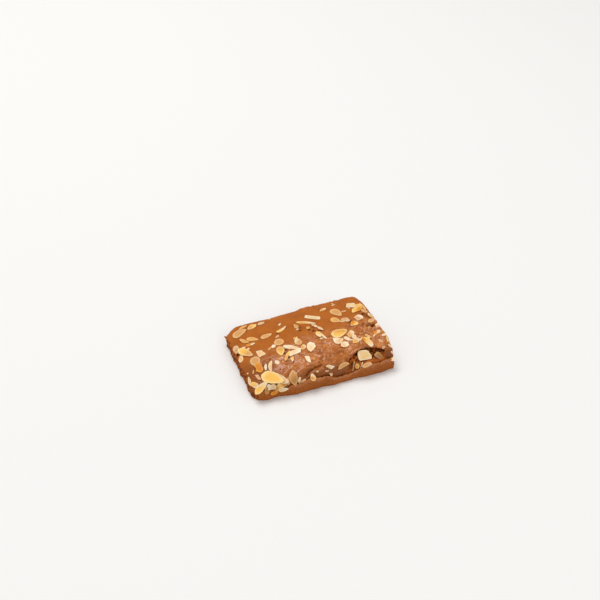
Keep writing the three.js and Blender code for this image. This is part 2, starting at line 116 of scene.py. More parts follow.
world = bpy.data.worlds.new("soft_room")
world.use_nodes = True
nodes, links = world.node_tree.nodes, world.node_tree.links
light_room = nodes["Background"]
light_room.inputs["Color"].default_value = WORLD_COLOUR
light_room.inputs["Strength"].default_value = WORLD_STRENGTH
seen_room = nodes.new("ShaderNodeBackground")
seen_room.inputs["Color"].default_value = FLOOR_COLOUR
seen_room.inputs["Strength"].default_value = SEEN_STRENGTH
ray = nodes.new("ShaderNodeLightPath")
either = nodes.new("ShaderNodeMixShader")
links.new(ray.outputs["Is Camera Ray"], either.inputs[0])
links.new(light_room.outputs[0], either.inputs[1])
links.new(seen_room.outputs[0], either.inputs[2])
links.new(either.outputs[0], nodes["World Output"].inputs["Surface"])
scene.world = world
print("floor, m:", FLOOR_SIZE)

# %% Lamps


def soft_panel(name, place, size, watts, colour):
    """A square lamp that faces the slab."""
    data = bpy.data.lights.new(name, "AREA")
    data.shape = "SQUARE"
    data.size = size
    data.energy = watts
    data.color = colour
    panel = bpy.data.objects.new(name, data)
    panel.location = place
    panel.rotation_euler = (-Vector(place)).to_track_quat("-Z", "Y").to_euler()
    scene.collection.objects.link(panel)


soft_panel("high_panel", place=(-0.5, 1.4, 3.7), size=2.4, watts=101, colour=(1.0, 0.98, 0.95))
soft_panel("front_panel", place=(0.7, -2.2, 1.5), size=1.6, watts=12, colour=(1.0, 0.98, 0.96))
scene.view_settings.view_transform = "Standard"

# %% [markdown]
# ## Small tools for shaping
#
# Every surface below is made from a few easy blends: a mix of two numbers, a smooth step, a bell
# that fades with distance, and noise of a chosen grain. Modifiers could do some of this, but
# plain functions can be read, tested and used again on flakes and sides alike.

# %% Blends


def mix(a, b, t):
    return a + (b - a) * t


def smooth(start, end, t):
    """0 at the start, 1 at the end, with a soft turn at both."""
    s = np.clip((t - start) / (end - start), 0, 1)
    return s * s * (3 - 2 * s)


def bell(distance, reach):
    """1 at no distance, fading out at a few times the reach."""
    return np.exp(-((distance / reach) ** 2))


def distance_to(line, x, y):
    """Distance in plan from every point to a line of points."""
    nearest = np.full(np.shape(x), 1e9)
    for (ax, ay), (bx, by) in zip(line, line[1:]):
        along = ((x - ax) * (bx - ax) + (y - ay) * (by - ay)) / ((bx - ax) ** 2 + (by - ay) ** 2)
        along = np.clip(along, 0, 1)
        nearest = np.minimum(nearest, np.hypot(x - mix(ax, bx, along), y - mix(ay, by, along)))
    return nearest


print("a quarter of the way up a smooth step:", float(smooth(0, 1, 0.25)))

# %% Noise
# How far one seed moves the noise, so that two seeds never give the same lumps
NOISE_SHIFT = (17.3, -9.1, 5.7)
PORE_SHIFT = (11.9, 7.7, -3.1)
# Shares of the width of a pore: its flat floor, then its wall
PORE_FLOOR, PORE_WALL = 0.55, 0.45


def grain(points, size, seed=0):
    """Soft noise from about -1 to 1 at each point, with lumps about `size` millimetres across."""
    shift = Vector([seed * far for far in NOISE_SHIFT])
    return np.array([noise.noise(Vector(p) / size + shift) for p in points])


def wrinkles(points, size, seed=0):
    """Winding ridges, 1 on their tops: noise folded at zero, with its places pushed about first."""
    push = np.stack([grain(points, 2.4 * size, seed + k) for k in (1, 2, 3)], axis=-1)
    return 1 - 3 * abs(grain(np.asarray(points) + 0.9 * size * push, size, seed))


def pits(points, size, seed=0, least=0.2, most=0.5):
    """Round pores of mixed width: 1 inside a pore, 0 outside."""
    shift = Vector([seed * far for far in PORE_SHIFT])
    out = np.zeros(len(points))
    for k, p in enumerate(points):
        far, middles = noise.voronoi(Vector(p) / size + shift)
        # Any number will do here, as long as it stays the same all through one pore
        width = least + (most - least) * noise.cell(middles[0] * 7.3)
        out[k] = 1 - min(max((far[0] / width - PORE_FLOOR) / PORE_WALL, 0), 1)
    return out * out * (3 - 2 * out)


print("grain at one place with two seeds:", grain([(1, 2, 3)], 5).round(2), grain([(1, 2, 3)], 5, 1).round(2))

# %% [markdown]
# ## The form of the slab
#
# The batter rose in a shallow tin. The left end stayed low, the middle and right end rose to the
# crown, and all round the crust rolls down to a rim. Along the front it touched the tin and left
# a thin ledge. These are the sizes that the plain slab was made from, so both agree.

# %% Sizes of the slab
LENGTH, WIDTH, CROWN = 144, 98, 25.5
LEFT, RIGHT = -LENGTH / 2 + 1, LENGTH / 2 - 0.6
FRONT, BACK = -WIDTH / 2 + 2.6, WIDTH / 2 - 0.6
EDGE_WOBBLE = 0.45

LEFT_HEIGHT, LEFT_STEEP_RISE, LEFT_STEEP_REACH = 10.5, 10.5, 11
GENTLE_RISE = CROWN - LEFT_HEIGHT - LEFT_STEEP_RISE
GENTLE_FROM, GENTLE_TO = -60, 10
# The dome stands at least this far above its rims
LEAST_DOME_FRONT, LEAST_DOME_BACK = 2, 4.2

FRONT_SHOULDER, BACK_SHOULDER, RIGHT_SHOULDER = 22, 32, 3
RIGHT_DROP = 2.2
BACK_RIM_LEFT, BACK_RIM_RIGHT, BACK_STEP_X = 13.5, 17.2, 8
LEDGE_HEIGHT, LEDGE_OUT = 11, 2.4
# Height of the front rim along X
FRONT_RIM = [
    (-80, 10.5), (-50, 10), (-40, 8.8), (-33, 10), (-26, 11.6), (-17, 14.4), (-8, 12.4), (0, 10),
    (8, 8.6), (15, 7.2), (22, 7.6), (27, 8.2), (31, 9.6), (35, 11.6), (40, 12.4), (51, 12.8),
    (58, 12.4), (64, 11), (80, 10.8),
]
# The corners are pulled in over this share of an edge
CORNER_SHARE, CORNER_POWER = 0.09, 1.6
SLOPE_STEP = 0.4
print("slab, mm:", LENGTH, "by", WIDTH, "by", CROWN)

# %% Rims and edges


def back_rim(x):
    """Height of the back rim, with one step up to the right."""
    return mix(BACK_RIM_LEFT, BACK_RIM_RIGHT, smooth(BACK_STEP_X - 5, BACK_STEP_X + 3, x))


def front_rim(x):
    """Height of the front rim, averaged over a few millimetres so that it has no kinks."""
    xs, heights = zip(*FRONT_RIM)
    return sum(np.interp(x + shift, xs, heights) for shift in (-2, -1, 0, 1, 2)) / 5


def edge_wobble(t, phase, ragged=0.0):
    """How far an edge wanders in and out along its length, from 0 to 1."""
    broad = EDGE_WOBBLE * (np.sin(t * 23 + phase) + 0.6 * np.sin(t * 51 + 2 * phase))
    return broad + ragged * (np.sin(t * 97 + phase) + 0.8 * np.sin(t * 173 - phase))


def corner_pull(t, at_start, at_end):
    """How far an edge is drawn in at its two corners."""
    start = 1 - smooth(0, CORNER_SHARE, t)
    end = smooth(1 - CORNER_SHARE, 1, t)
    return at_start * start**CORNER_POWER + at_end * end**CORNER_POWER


def front_edge(u):
    return FRONT + corner_pull(u, at_start=2.6, at_end=0.8) + edge_wobble(u, phase=4.4)


print("front rim, mm high:", round(float(front_rim(-17.0)), 1), "to", round(float(front_rim(15.0)), 1))

# %% Height and slope of the crust


def rise_along(x):
    """Height of the dome along the slab: steep at the left end, then gentle."""
    from_left = np.maximum(x - LEFT, 0)
    steep = LEFT_STEEP_RISE * (1 - np.exp(-from_left / LEFT_STEEP_REACH))
    return LEFT_HEIGHT + steep + GENTLE_RISE * smooth(GENTLE_FROM, GENTLE_TO, x)


def quarter_round(inset, reach):
    """Height of a quarter circle: 0 at the edge, 1 from its reach inwards."""
    t = 1 - np.clip(inset / reach, 0, 1)
    return np.sqrt(1 - t * t)


def crust_height(x, y):
    dome = rise_along(x)
    low_front = np.minimum(front_rim(x), dome - LEAST_DOME_FRONT)
    low_back = np.minimum(back_rim(x), dome - LEAST_DOME_BACK)
    front_inset = y - front_edge((x - LEFT) / (RIGHT - LEFT))
    front = mix(low_front, dome, quarter_round(front_inset, FRONT_SHOULDER))
    back = mix(low_back, dome, quarter_round(BACK - y, BACK_SHOULDER))
    right = RIGHT_DROP * (1 - quarter_round(RIGHT - x, RIGHT_SHOULDER))
    return front + back - dome - right


def crust_normal(x, y):
    """The direction straight out of the crust, from its slope over a small step."""
    step = SLOPE_STEP
    slope_x = (crust_height(x + step, y) - crust_height(x - step, y)) / (2 * step)
    slope_y = (crust_height(x, y + step) - crust_height(x, y - step)) / (2 * step)
    out = np.stack([-slope_x, -slope_y, np.ones(np.shape(x))], axis=-1)
    return out / np.linalg.norm(out, axis=-1, keepdims=True)


print("crown height, mm:", round(float(crust_height(20.0, 5.0)), 1))

# %% [markdown]
# ## Folds, wrinkles and pores in the crust
#
# While it baked, the skin set before the inside had finished rising, so it was pushed into folds.
# The back half stayed smooth and dull. The front half is wrinkled all over and shines. A fold is a
# line on the crust with a depth and a reach, and a wrinkle is noise that fades out to the back.
# Modelling them as relief, and not only as bump, keeps them in the outline and in the shadows.

# %% Places of the folds
# Each row: a line on the crust, how deep the fold is and how far it reaches
FOLDS = [
    ([(-21, -46.6), (-17, -43.6), (-13, -42), (-8.5, -41), (-4.5, -40.4)], 2.6, 1.9),
    ([(-28, -42), (-22, -40), (-15, -37.5)], -1.2, 4),
    ([(-10, -44.5), (0, -44), (10, -43.5)], -0.8, 3),
    ([(30, -33), (42, -29.5), (55, -32)], -0.8, 4),
    ([(-6, -24), (4, -26), (14, -22)], 0.7, 3.5),
    ([(40, -3), (52, -6), (60, -7)], 0.7, 3),
    ([(48, -12), (56, -14), (64, -11)], 0.8, 3),
    ([(60, 12), (64, 9), (66, 3)], 1.6, 2.4),
    ([(61, -7), (67, -7)], 1.8, 2.2),
]
# The same, for folds with a crease at the bottom
SHARP_FOLDS = [
    ([(-20, -45.4), (-16.6, -43), (-12.6, -41.6), (-8, -40.6), (-3, -40.2)], 1.1, 0.55),
    ([(-8, 9.4), (-5, 8), (-2, 8.6), (0, 11), (0.4, 14)], 0.5, 0.5),
    ([(43, -1.4), (45.6, -3.4), (47.6, -6.4)], 0.7, 0.6),
    ([(50, -3.6), (54, -4.4), (58, -3.2)], 0.5, 0.7),
    ([(46, -9.4), (52, -8.6), (58, -10.6), (61, -8)], 0.5, 0.8),
    ([(-4, -23.4), (1, -26.6), (8, -25.6)], 0.6, 0.8),
    ([(14, -12.4), (20, -13.6), (24, -12)], 0.4, 0.8),
    ([(-61, -24), (-58, -33), (-54, -34)], 0.5, 1.0),
    ([(24, -36.4), (33, -34), (42, -31.6)], 0.4, 0.9),
    ([(-26, -35), (-16, -33.4), (-6, -36)], 0.35, 1.0),
    ([(-14, -39.4), (-6, -38), (4, -38.6)], 0.35, 0.8),
    ([(62, 8.4), (65.9, 6.6), (68.4, 1.5)], 1.0, 0.8),
    ([(57, -4.6), (62.5, -5.9), (67.9, -8)], 0.9, 0.8),
    ([(66, 14), (68, 8), (69.6, 2)], 0.7, 0.7),
    ([(58, -12), (63, -13.4), (68, -16)], 0.6, 0.9),
    ([(55, -17), (60, -27), (64, -29)], 0.5, 1.1),
    ([(61.4, -38), (63.4, -41), (63, -45)], 0.7, 0.7),
    ([(66, -30), (66.4, -37), (68.6, -43)], 0.5, 0.8),
    ([(-50, -14), (-47, -19), (-44.6, -27)], 0.35, 0.9),
    ([(-38, -24), (-33, -29), (-24, -31)], 0.4, 0.9),
]
# The same, for wrinkles that stand up
RIDGES = [
    ([(2.9, -18.8), (9.6, -18.6), (16.2, -16.1), (19.9, -10.9)], 0.5, 0.9),
    ([(0, -21.4), (9, -21.6), (17, -18.6)], 0.35, 0.8),
    ([(-10.5, -0.8), (-8.5, -7.5), (-1.1, -10.1), (3.9, -7.2)], 0.35, 0.8),
    ([(-36, 17.6), (-29.3, 17.2), (-26, 16)], 0.3, 0.6),
    ([(4, -31), (12, -29), (18, -30)], 0.35, 0.9),
    ([(-20, -29), (-15, -26), (-8, -26.6)], 0.35, 0.9),
    ([(56, -14.6), (63, -16.6), (69, -20)], 0.45, 0.9),
    ([(62.4, -35), (65, -40), (66, -45)], 0.4, 0.9),
]
# Torn lumps of crust: x, y, reach and height
LUMPS = [
    (-4, 12.8, 1.9, 1.5), (7.6, 7.6, 1.8, 1.6), (4.8, 9.8, 1.4, 1.2), (10.4, 6.2, 1.2, 0.9),
    (1.2, 9.8, 1.2, 0.8), (64, 10, 3, 0.9),
]
print("folds:", len(FOLDS) + len(SHARP_FOLDS), "ridges:", len(RIDGES), "lumps:", len(LUMPS))

# %% Folded crust


def crust_lumps(x, y):
    """Broad swells all over, and closer ones on the front half."""
    front_half = smooth(10, -20, y)
    broad = 0.45 * np.sin(x / 9.5 + 1.3) * np.cos(y / 7.5 - 0.4)
    fine = 0.4 * front_half * np.sin(x / 3.9 + y / 6.1) * np.cos(y / 4.3 - x / 8.2)
    return broad + fine


def crust_relief(x, y):
    """How far the crust stands out from its plain form, before wrinkles and creases."""
    out = crust_lumps(x, y)
    for line, depth, reach in FOLDS:
        out = out - depth * bell(distance_to(line, x, y), reach)
    for place_x, place_y, reach, height in LUMPS:
        out = out + height * bell(np.hypot(x - place_x, y - place_y), reach)
    return out


def shine_of(x, y):
    """How wrinkled and wet the crust is: 0 on the dull back half, 1 along the front."""
    wet = smooth(12, -16, y + 6 * smooth(10, -40, x) - 9 * smooth(30, 62, x))
    return wet * (1 - 0.45 * smooth(-42, -60, x))


print("shine in the front middle:", round(float(shine_of(0.0, -30.0)), 2))

# %% [markdown]
# Broken places come in two sorts. Steam left pores no wider than a pinhead, and a few flakes tore
# the skin as it rose and left holes beside them. Both are bowls pressed into the crust.

# %% Holes and pores
# Each hole: x, y, length, width, turn and depth
HOLES = [
    (-28, -10.5, 5, 2.4, -10, 2.2), (-69.5, 9.5, 4, 2.6, 80, 2.2), (3, 6.2, 3, 2.4, 0, 1.8),
    (6.3, 3.2, 4, 2.6, 20, 2.2), (12.5, 2, 6, 2.2, -25, 2), (46, 4.2, 7, 1.8, 32, 2),
    (38.6, -5.6, 4, 1.6, 45, 1.8), (10, -7.4, 2.6, 2.6, 0, 1.8), (62.6, 11.4, 3.4, 2.4, -50, 2),
    (65, -6.8, 6, 3, 15, 2.4), (70, 3.6, 4, 2.4, 80, 2), (-5.4, 8.8, 3.4, 1.8, 10, 1.8),
    (15.8, 1.2, 2.8, 1.8, 10, 1.8), (-30.4, -14.8, 3.4, 1.9, 40, 2), (-28.4, -20.9, 3.6, 1.8, 60, 2),
    (-26.8, -28.6, 2.2, 1.5, 0, 1.4), (62.2, 17.2, 2.6, 1.6, -20, 1.4),
]
PORES = [
    (-46, -16), (-41, -32), (-38, -33), (-22, -1), (8.5, -34.5), (18.5, 6), (-25.4, -25), (22, -34),
]
PORE_SIZE, PORE_DEPTH = 1.3, 1.1
# Holes reach their full painted shade at this depth
DARK_AT_DEPTH = 1.6
TINY_PORES = 260
TINY_SIZES, TINY_DEPTHS = (0.6, 1.2), (0.15, 0.4)
TINY_ALONG, TINY_ACROSS = (-68, 70), (-40, 45)


def bowl(x, y, place_x, place_y, length, width, turn):
    """1 in the middle of an oval bowl, 0 outside it."""
    a = math.radians(turn)
    along = (x - place_x) * math.cos(a) + (y - place_y) * math.sin(a)
    across = (y - place_y) * math.cos(a) - (x - place_x) * math.sin(a)
    far = np.hypot(along / (length / 2), across / (width / 2))
    return 1 - smooth(0.45, 1.15, far)


def broken_places(x, y):
    """Depth of every hole and pore at each point, and how deep it is as a share of its depth, which sets the
    painted shade there.
    """
    depth = np.zeros(np.shape(x))
    share = np.zeros(np.shape(x))
    draw = random.Random(12)
    bowls = list(HOLES)
    for px, py in PORES:
        bowls.append((px, py, PORE_SIZE * 1.3, PORE_SIZE, draw.uniform(0, 90), PORE_DEPTH))
    for _ in range(TINY_PORES):
        size = draw.uniform(*TINY_SIZES)
        place = (draw.uniform(*TINY_ALONG), draw.uniform(*TINY_ACROSS))
        bowls.append((*place, size, size, 0, draw.uniform(*TINY_DEPTHS)))
    for px, py, long, wide, turn, deep in bowls:
        near = (abs(x - px) < long) & (abs(y - py) < long)
        inside = bowl(x[near], y[near], px, py, long, wide, turn)
        depth[near] = np.maximum(depth[near], deep * inside)
        share[near] = np.maximum(share[near], inside * min(deep / DARK_AT_DEPTH, 1))
    return depth, share


print("holes:", len(HOLES), "pores:", len(PORES) + TINY_PORES)

# %% [markdown]
# ## The tear
#
# Near the right front corner the crust split along an arch and the inside pushed out. The tear
# could be cut with a Boolean, but the cutter would leave a hard, even rim. Here one row of the
# grid follows the rim of the tear, and the rows in front of it are pushed in under the crust, so
# the rim stays sharp and the wall below it gets enough points for its bubbles.

# %% Rim and depth of the tear
RIM_LINE = [
    (-80, -35), (0, -35.5), (12, -39.5), (20, -42.6), (23.7, -41.2), (27.8, -38.9), (33, -36.9),
    (38.6, -35.4), (44, -35), (48.3, -35.6), (52, -36.8), (56, -38.2), (60, -39.8), (63, -40.6),
    (69, -38), (80, -35),
]
# How deep the tear is along X
TEAR_DEPTHS = [
    (21.5, 0), (24, 1.7), (30, 3.2), (36, 4.6), (42, 5.2), (50, 5.4), (57, 5.2), (60.4, 4.2), (62, 0),
]
# From the foot of the tear to its rim: how far along, how deep, how far in under the rim
TEAR_STEPS = [
    (0, 0, 0), (0.08, 0.6, 0), (0.2, 0.86, 0), (0.45, 0.8, 0), (0.68, 0.86, 0.3), (0.84, 1, 0.8),
    (0.93, 0.9, 1.4), (0.972, 0.46, 1.2), (0.99, 0.12, 0.4), (1, 0, 0),
]


def rim_of_tear(x):
    """Where the rim of the tear lies across the slab, a little ragged."""
    xs, ys = zip(*RIM_LINE)
    ragged = 0.3 * np.sin(x * 1.3) + 0.16 * np.sin(x * 2.9 + 1)
    return np.interp(x, xs, ys) + ragged * smooth(20, 24, x) * smooth(66, 62, x)


def tear_depth(x):
    xs, depths = zip(*TEAR_DEPTHS)
    return np.interp(x, xs, depths)


def tear_profile(s):
    """Depth as a share of the deepest, and the undercut in millimetres, at height s in the tear."""
    along, deep, under = zip(*TEAR_STEPS)
    return np.interp(s, along, deep), np.interp(s, along, under)


print("tear, mm wide:", round(TEAR_DEPTHS[-1][0] - TEAR_DEPTHS[0][0], 1))

# %% [markdown]
# ## Meshes and colours
#
# Two helpers serve every piece. One makes a mesh and keeps extra numbers on its points. The other
# turns a colour as the eye reads it, three numbers up to 255, into the light that a shader wants.

# %% Mesh and colour helpers


def make_mesh(name, points_mm, faces, numbers=None, tones=None):
    """A mesh object from points in millimetres, with a number or a colour kept on each point."""
    mesh = bpy.data.meshes.new(name)
    mesh.from_pydata((np.asarray(points_mm) * MM).tolist(), [], [tuple(int(k) for k in f) for f in faces])
    for label, values in (numbers or {}).items():
        layer = mesh.attributes.new(label, "FLOAT", "POINT")
        layer.data.foreach_set("value", np.asarray(values, dtype=np.float32))
    if tones is not None:
        layer = mesh.attributes.new("tone", "FLOAT_COLOR", "POINT")
        layer.data.foreach_set("color", np.asarray(tones, dtype=np.float32).ravel())
    mesh.shade_smooth()
    item = bpy.data.objects.new(name, mesh)
    scene.collection.objects.link(item)
    return item


def paint(red, green, blue):
    """A colour as the eye reads it, turned into light."""

    def light(c):
        c = c / 255
        return c / 12.92 if c <= 0.04045 else ((c + 0.055) / 1.055) ** 2.4

    return (light(red), light(green), light(blue), 1)


print("middle grey as light:", round(paint(128, 128, 128)[0], 3))

# %% [markdown]
# ## Almond flakes
#
# Flaked almonds are whole almonds cut lengthwise into slices about a millimetre thick. Some kept
# the whole drop shape, many broke. Scattering copies would make them all alike, and the eye sees
# that at once, so each flake has its own row: where it fell, its length, width and turn, its
# shape, its toasting, and how it tips. A flake is built from rings, from its middle to its edge,
# so its face can arch while its edge stays thin and crisp.

# %% Outlines
# An outline gives, for each angle, how far along and across the edge is, as shares of the half size


def almond(a):
    return math.cos(a), math.sin(a) * (1 - 0.3 * math.cos(a)) * abs(math.sin(a)) ** 0.12


def disc(a):
    return math.cos(a), math.sin(a)


def broken_end(a):
    return min(math.cos(a), 0.7) / 0.85 + 0.17, math.sin(a) * (1 - 0.16 * math.cos(a))


def to_corner(a, points):
    """How far it is from the middle to the straight edges between the points, at angle a."""
    direction = (math.cos(a), math.sin(a))
    far = 0
    for (ax, ay), (bx, by) in zip(points, points[1:] + points[:1]):
        across = direction[0] * (by - ay) - direction[1] * (bx - ax)
        if abs(across) < 1e-9:
            continue
        reach = (ax * (by - ay) - ay * (bx - ax)) / across
        along = (ax * direction[1] - ay * direction[0]) / across
        if reach > 0 and -1e-6 <= along <= 1 + 1e-6:
            far = max(far, reach)
    return far


def corners(*points, worn=0.13):
    """A broken flake whose edge runs straight from corner to corner, with the corners worn."""

    def outline(a):
        far = sum(to_corner(a + turn, points) for turn in (-worn, 0, worn)) / 3
        return far * math.cos(a), far * math.sin(a)

    return outline


OUTLINES = {
    "slice": almond,
    "round": disc,
    "chip": broken_end,
    "curl": almond,
    "half": corners((-1, -0.5), (-0.9, 0.15), (-0.5, 0.8), (0, 1), (0.5, 0.8), (0.9, 0.15), (1, -0.5)),
    "slat": corners((-1, -0.6), (-0.97, 0.95), (-0.8, 1), (0.9, 0.62), (1, -0.5), (0.8, -0.9)),
    "kite": corners((-1, 0.1), (-0.3, 1), (1, 0.6), (0.6, -0.3), (0.45, -1)),
    "square": corners((-0.95, -0.75), (-0.8, 0.85), (0.55, 1), (1, 0.1), (0.6, -0.95)),
    "shard": corners((-1, -0.3), (-0.55, 0.8), (1, 0.35), (0.5, -0.75)),
    "petal": corners(
        (-1, 0), (-0.6, 0.75), (0.2, 1), (0.95, 0.55), (0.8, -0.6), (0, -0.95), (-0.7, -0.6),
    ),
    "wedge": corners((-1, -0.5), (-0.5, 0.9), (0.9, 0.9), (1, -0.2), (0.1, -0.9)),
    "block": corners(
        (-0.87, 0.95), (-0.96, 0.5), (-0.98, 0.1), (-0.96, -0.3), (-0.85, -0.72), (0.36, -0.82),
        (0.82, -0.8), (0.94, -0.35), (0.76, 0.28), (0.66, 0.63), (0.28, 0.91), (-0.31, 1),
        (-0.69, 1.08), worn=0.05,
    ),
    "fin": corners(
        (0.89, 1.29), (1.13, 0.14), (0.83, -0.39), (0.13, -0.68), (-0.52, -0.85), (-0.82, -0.37),
        (-0.43, 0.39), (0.27, 0.95), worn=0.04,
    ),
    "leaf": corners((-1, -0.25), (-0.55, 0.55), (0.1, 0.95), (1, 0.15), (0.55, -0.55), (-0.3, -0.8)),
    "drop": corners(
        (-1, 0.15), (-0.55, 0.75), (0.1, 1), (0.75, 0.7), (1, 0), (0.7, -0.75), (0, -0.95), (-0.6, -0.4),
    ),
    "fold": corners(
        (-1, -0.4), (-0.7, 0.65), (-0.1, 0.5), (0.35, 1), (1, 0.5), (0.75, -0.5), (0.1, -0.6), (-0.4, -1),
    ),
    "hook": corners(
        (-1, 0.3), (-0.6, 0.9), (0.3, 0.75), (0.55, 0.2), (1, -0.5), (0.6, -1), (0, -0.4), (-0.6, -0.35),
    ),
}
# How much a flake arches, as a share of its length: below 0 it curls up at its ends
BENDS = {"slice": 0.02, "curl": -0.12, "slat": 0, "hook": -0.06, "fold": 0.03}
USUAL_BEND = 0.01
print("outlines:", ", ".join(OUTLINES))

# %% [markdown]
# Toasting turns an almond from cream through tan and yellow to orange, often more at one end than
# at the other, and the cut rim gets a paler colour as a painted highlight. So each tone below has a
# colour for the face and a paler one for the rim, and a row that names two tones, such as
# "yellow to tan", changes along its length.

# %% Tones
# Each tone: the colour of the face, and a paler colour for the rim that is a painted highlight
TONES = {
    "cream": ((240, 204, 154), (250, 228, 192)),
    "tan": ((214, 156, 92), (234, 190, 132)),
    "pale": ((231, 188, 136), (246, 217, 178)),
    "white": ((246, 220, 182), (252, 237, 211)),
    "butter": ((250, 210, 148), (255, 232, 188)),
    "yellow": ((247, 191, 84), (252, 220, 152)),
    "honey": ((224, 162, 80), (242, 198, 130)),
    "orange": ((214, 124, 0), (234, 164, 44)),
    "olive": ((178, 122, 64), (206, 158, 100)),
    "grey": ((158, 112, 74), (190, 148, 108)),
    "pink": ((216, 162, 116), (236, 196, 156)),
}
print("tones:", ", ".join(TONES))

# %% [markdown]
# The flakes were strewn by hand and fell in drifts: thick at both ends and along the front, thin
# at the back. A particle system could strew them too, but not in these drifts. Where two flakes
# overlap, the upper one has some lift.

# %% The flakes of the left end and the left front
# Each row: x, y, length, width, turn, shape, tone, then tilt, roll and lift where it has them
LEFT_FLAKES = [
    (-59.3, 34.3, 15, 9.6, 5, "slice", "tan"),
    (-53.6, 41, 11, 3.4, 12, "leaf", "honey", 0, 20),
    (-45.6, 36.6, 11.5, 8, 12, "leaf", "tan to yellow", 0, 6),
    (-35.6, 37.6, 9, 4.6, 15, "leaf", "pale", -8, 10),
    (-20.3, 25.8, 4.4, 2, 45, "slice", "cream"),
    (-25, 43.6, 3, 1.5, 20, "chip", "white"),
    (-68.2, 16.2, 11, 6.6, 95, "square", "pink to pale"),
    (-62.6, 4.8, 20, 7.4, -60, "slice", "yellow to tan", 0, 0, 0.5),
    (-68, 2, 9, 4.8, 64, "slice", "pale"),
    (-58.6, 19.6, 12, 3.4, -55, "curl", "honey"),
    (-51.3, 18.3, 12.5, 4.8, -35, "slice", "honey"),
    (-56.8, 12.4, 6, 3.6, -12, "petal", "orange", 0, 14),
    (-53.2, 11.2, 4.6, 3.4, 30, "hook", "cream", 6, 20, 0.3),
    (-62, 12.6, 5, 2.2, -15, "shard", "white"),
    (-59.3, 7.4, 4, 2.5, 20, "chip", "pale"),
    (-51.4, -4.7, 11.4, 8.4, -58, "kite", "pale"),
    (-58.3, -10.7, 12, 9.6, 90, "round", "tan"),
    (-58, -20.4, 12.4, 9.4, 70, "fold", "orange", 6, 8, 0.4),
    (-52.3, -23.6, 9.4, 3.3, 68, "leaf", "white"),
    (-47.8, -24.8, 14, 4.8, 68, "half", "pale to cream"),
    (-40.9, -23.1, 6, 4.2, 100, "round", "white"),
    (-70, -28.2, 10, 3, 78, "slice", "pale", 0, 30),
    (-67.6, -36.8, 9.7, 5.5, -62, "square", "yellow to pale"),
    (-62.4, -30.8, 9, 4.4, -75, "shard", "pink"),
    (-64, -22, 5, 1.5, 60, "slice", "tan"),
    (-68.6, -19.6, 1.8, 1.4, 0, "chip", "pale"),
    (-46.6, -40, 22, 9.4, -36, "slice", "pale"),
    (-51.1, -38.4, 21.7, 11.6, -38, "slice", "yellow", 2, 0, 1.1),
    (-63.2, -42.6, 16.5, 6.4, 24, "slice", "yellow to cream", 2, 0, 0.5),
    (-59.1, -45.7, 7.3, 4.2, 83, "chip", "olive"),
    (-54.6, -44.4, 9.4, 7, -25, "fold", "white to pale", 0, 14, 0.2),
    (-51.6, -45.4, 4, 3, 20, "shard", "cream", 10, 10, 0.4),
    (-49.3, -46, 5.4, 5, 0, "square", "olive to honey"),
    (-44.6, -44.9, 11, 7, -7, "wedge", "yellow to olive", 0, 20, 0.1),
    (-32.2, -43.5, 16, 10.3, 76, "leaf", "olive to tan", 4, 0, 0.4),
    (-37.8, -44, 6.9, 2.6, 83, "slice", "tan"),
    (-27.4, -46, 5, 2.4, 60, "chip", "cream"),
    (-24.7, -46.7, 8.7, 3.3, 22, "slice", "pale"),
]
print("flakes on the left:", len(LEFT_FLAKES))

# %% The flakes of the middle
MIDDLE_FLAKES = [
    (-37.8, 15.6, 12, 5.2, 5, "slice", "tan"),
    (-22, 17, 12.4, 3.2, 20, "curl", "yellow to cream"),
    (-28.5, 10.2, 6, 3, 30, "kite", "pink"),
    (-29.8, 2.4, 9.6, 9, 0, "round", "tan"),
    (-36.5, -1, 5, 4, 30, "petal", "white"),
    (-40.6, -2.2, 5, 2, 30, "chip", "tan"),
    (-32.6, -10.4, 13.5, 8.2, 85, "drop", "yellow to honey"),
    (-22, -10.6, 16.5, 4.2, -38, "slice", "white to cream", 0, 14, 0.7),
    (-13.4, -5.4, 10, 6.6, 95, "slice", "tan to cream"),
    (-14.4, 0.6, 3, 2, 20, "chip", "honey"),
    (-29.6, -20.4, 14, 4.6, 58, "hook", "honey to yellow", 4, 6),
    (-21.2, -19.2, 15.5, 8.4, 14, "shard", "cream to white", 0, 6, 0.8),
    (-26.4, -24.6, 4.6, 3, 60, "slice", "yellow", 4, 10),
    (-11.3, -14.8, 7.5, 5, 50, "petal", "honey to pale"),
    (-4.3, -17, 14, 9, 72, "drop", "cream to white"),
    (-12.8, -31.4, 10.4, 5, 100, "kite", "white"),
    (-27, -27, 4, 1.6, 50, "chip", "white"),
    (-31, -34, 2.5, 1.5, 0, "chip", "tan"),
    (-9, -44, 2.5, 2, 0, "chip", "pale"),
    (-12.5, 0.1, 3.5, 1.6, 60, "chip", "yellow"),
    (13.3, 22.8, 16, 6.2, -28, "slat", "cream"),
    (8.6, 25.4, 5.4, 2.6, 60, "hook", "white", 0, 20, 0.5),
    (3.8, 17.6, 20, 3.4, -27, "slice", "honey to cream"),
    (-7, 16.4, 7, 4, 100, "slice", "tan"),
    (-7.5, 11.3, 3, 2, 20, "chip", "pale"),
    (2.8, 8.9, 4.4, 3.4, 0, "petal", "honey"),
    (9.8, 10.2, 7.4, 3.4, -62, "petal", "pink to white"),
    (13.8, 4.2, 7.4, 2.8, -60, "slice", "cream"),
    (9.2, -3.7, 9, 6, 100, "drop", "cream to yellow"),
    (12.6, -8.9, 9, 2.2, -75, "curl", "cream"),
    (9.2, -10, 3, 2.5, 0, "chip", "pale"),
]
print("flakes in the middle:", len(MIDDLE_FLAKES))

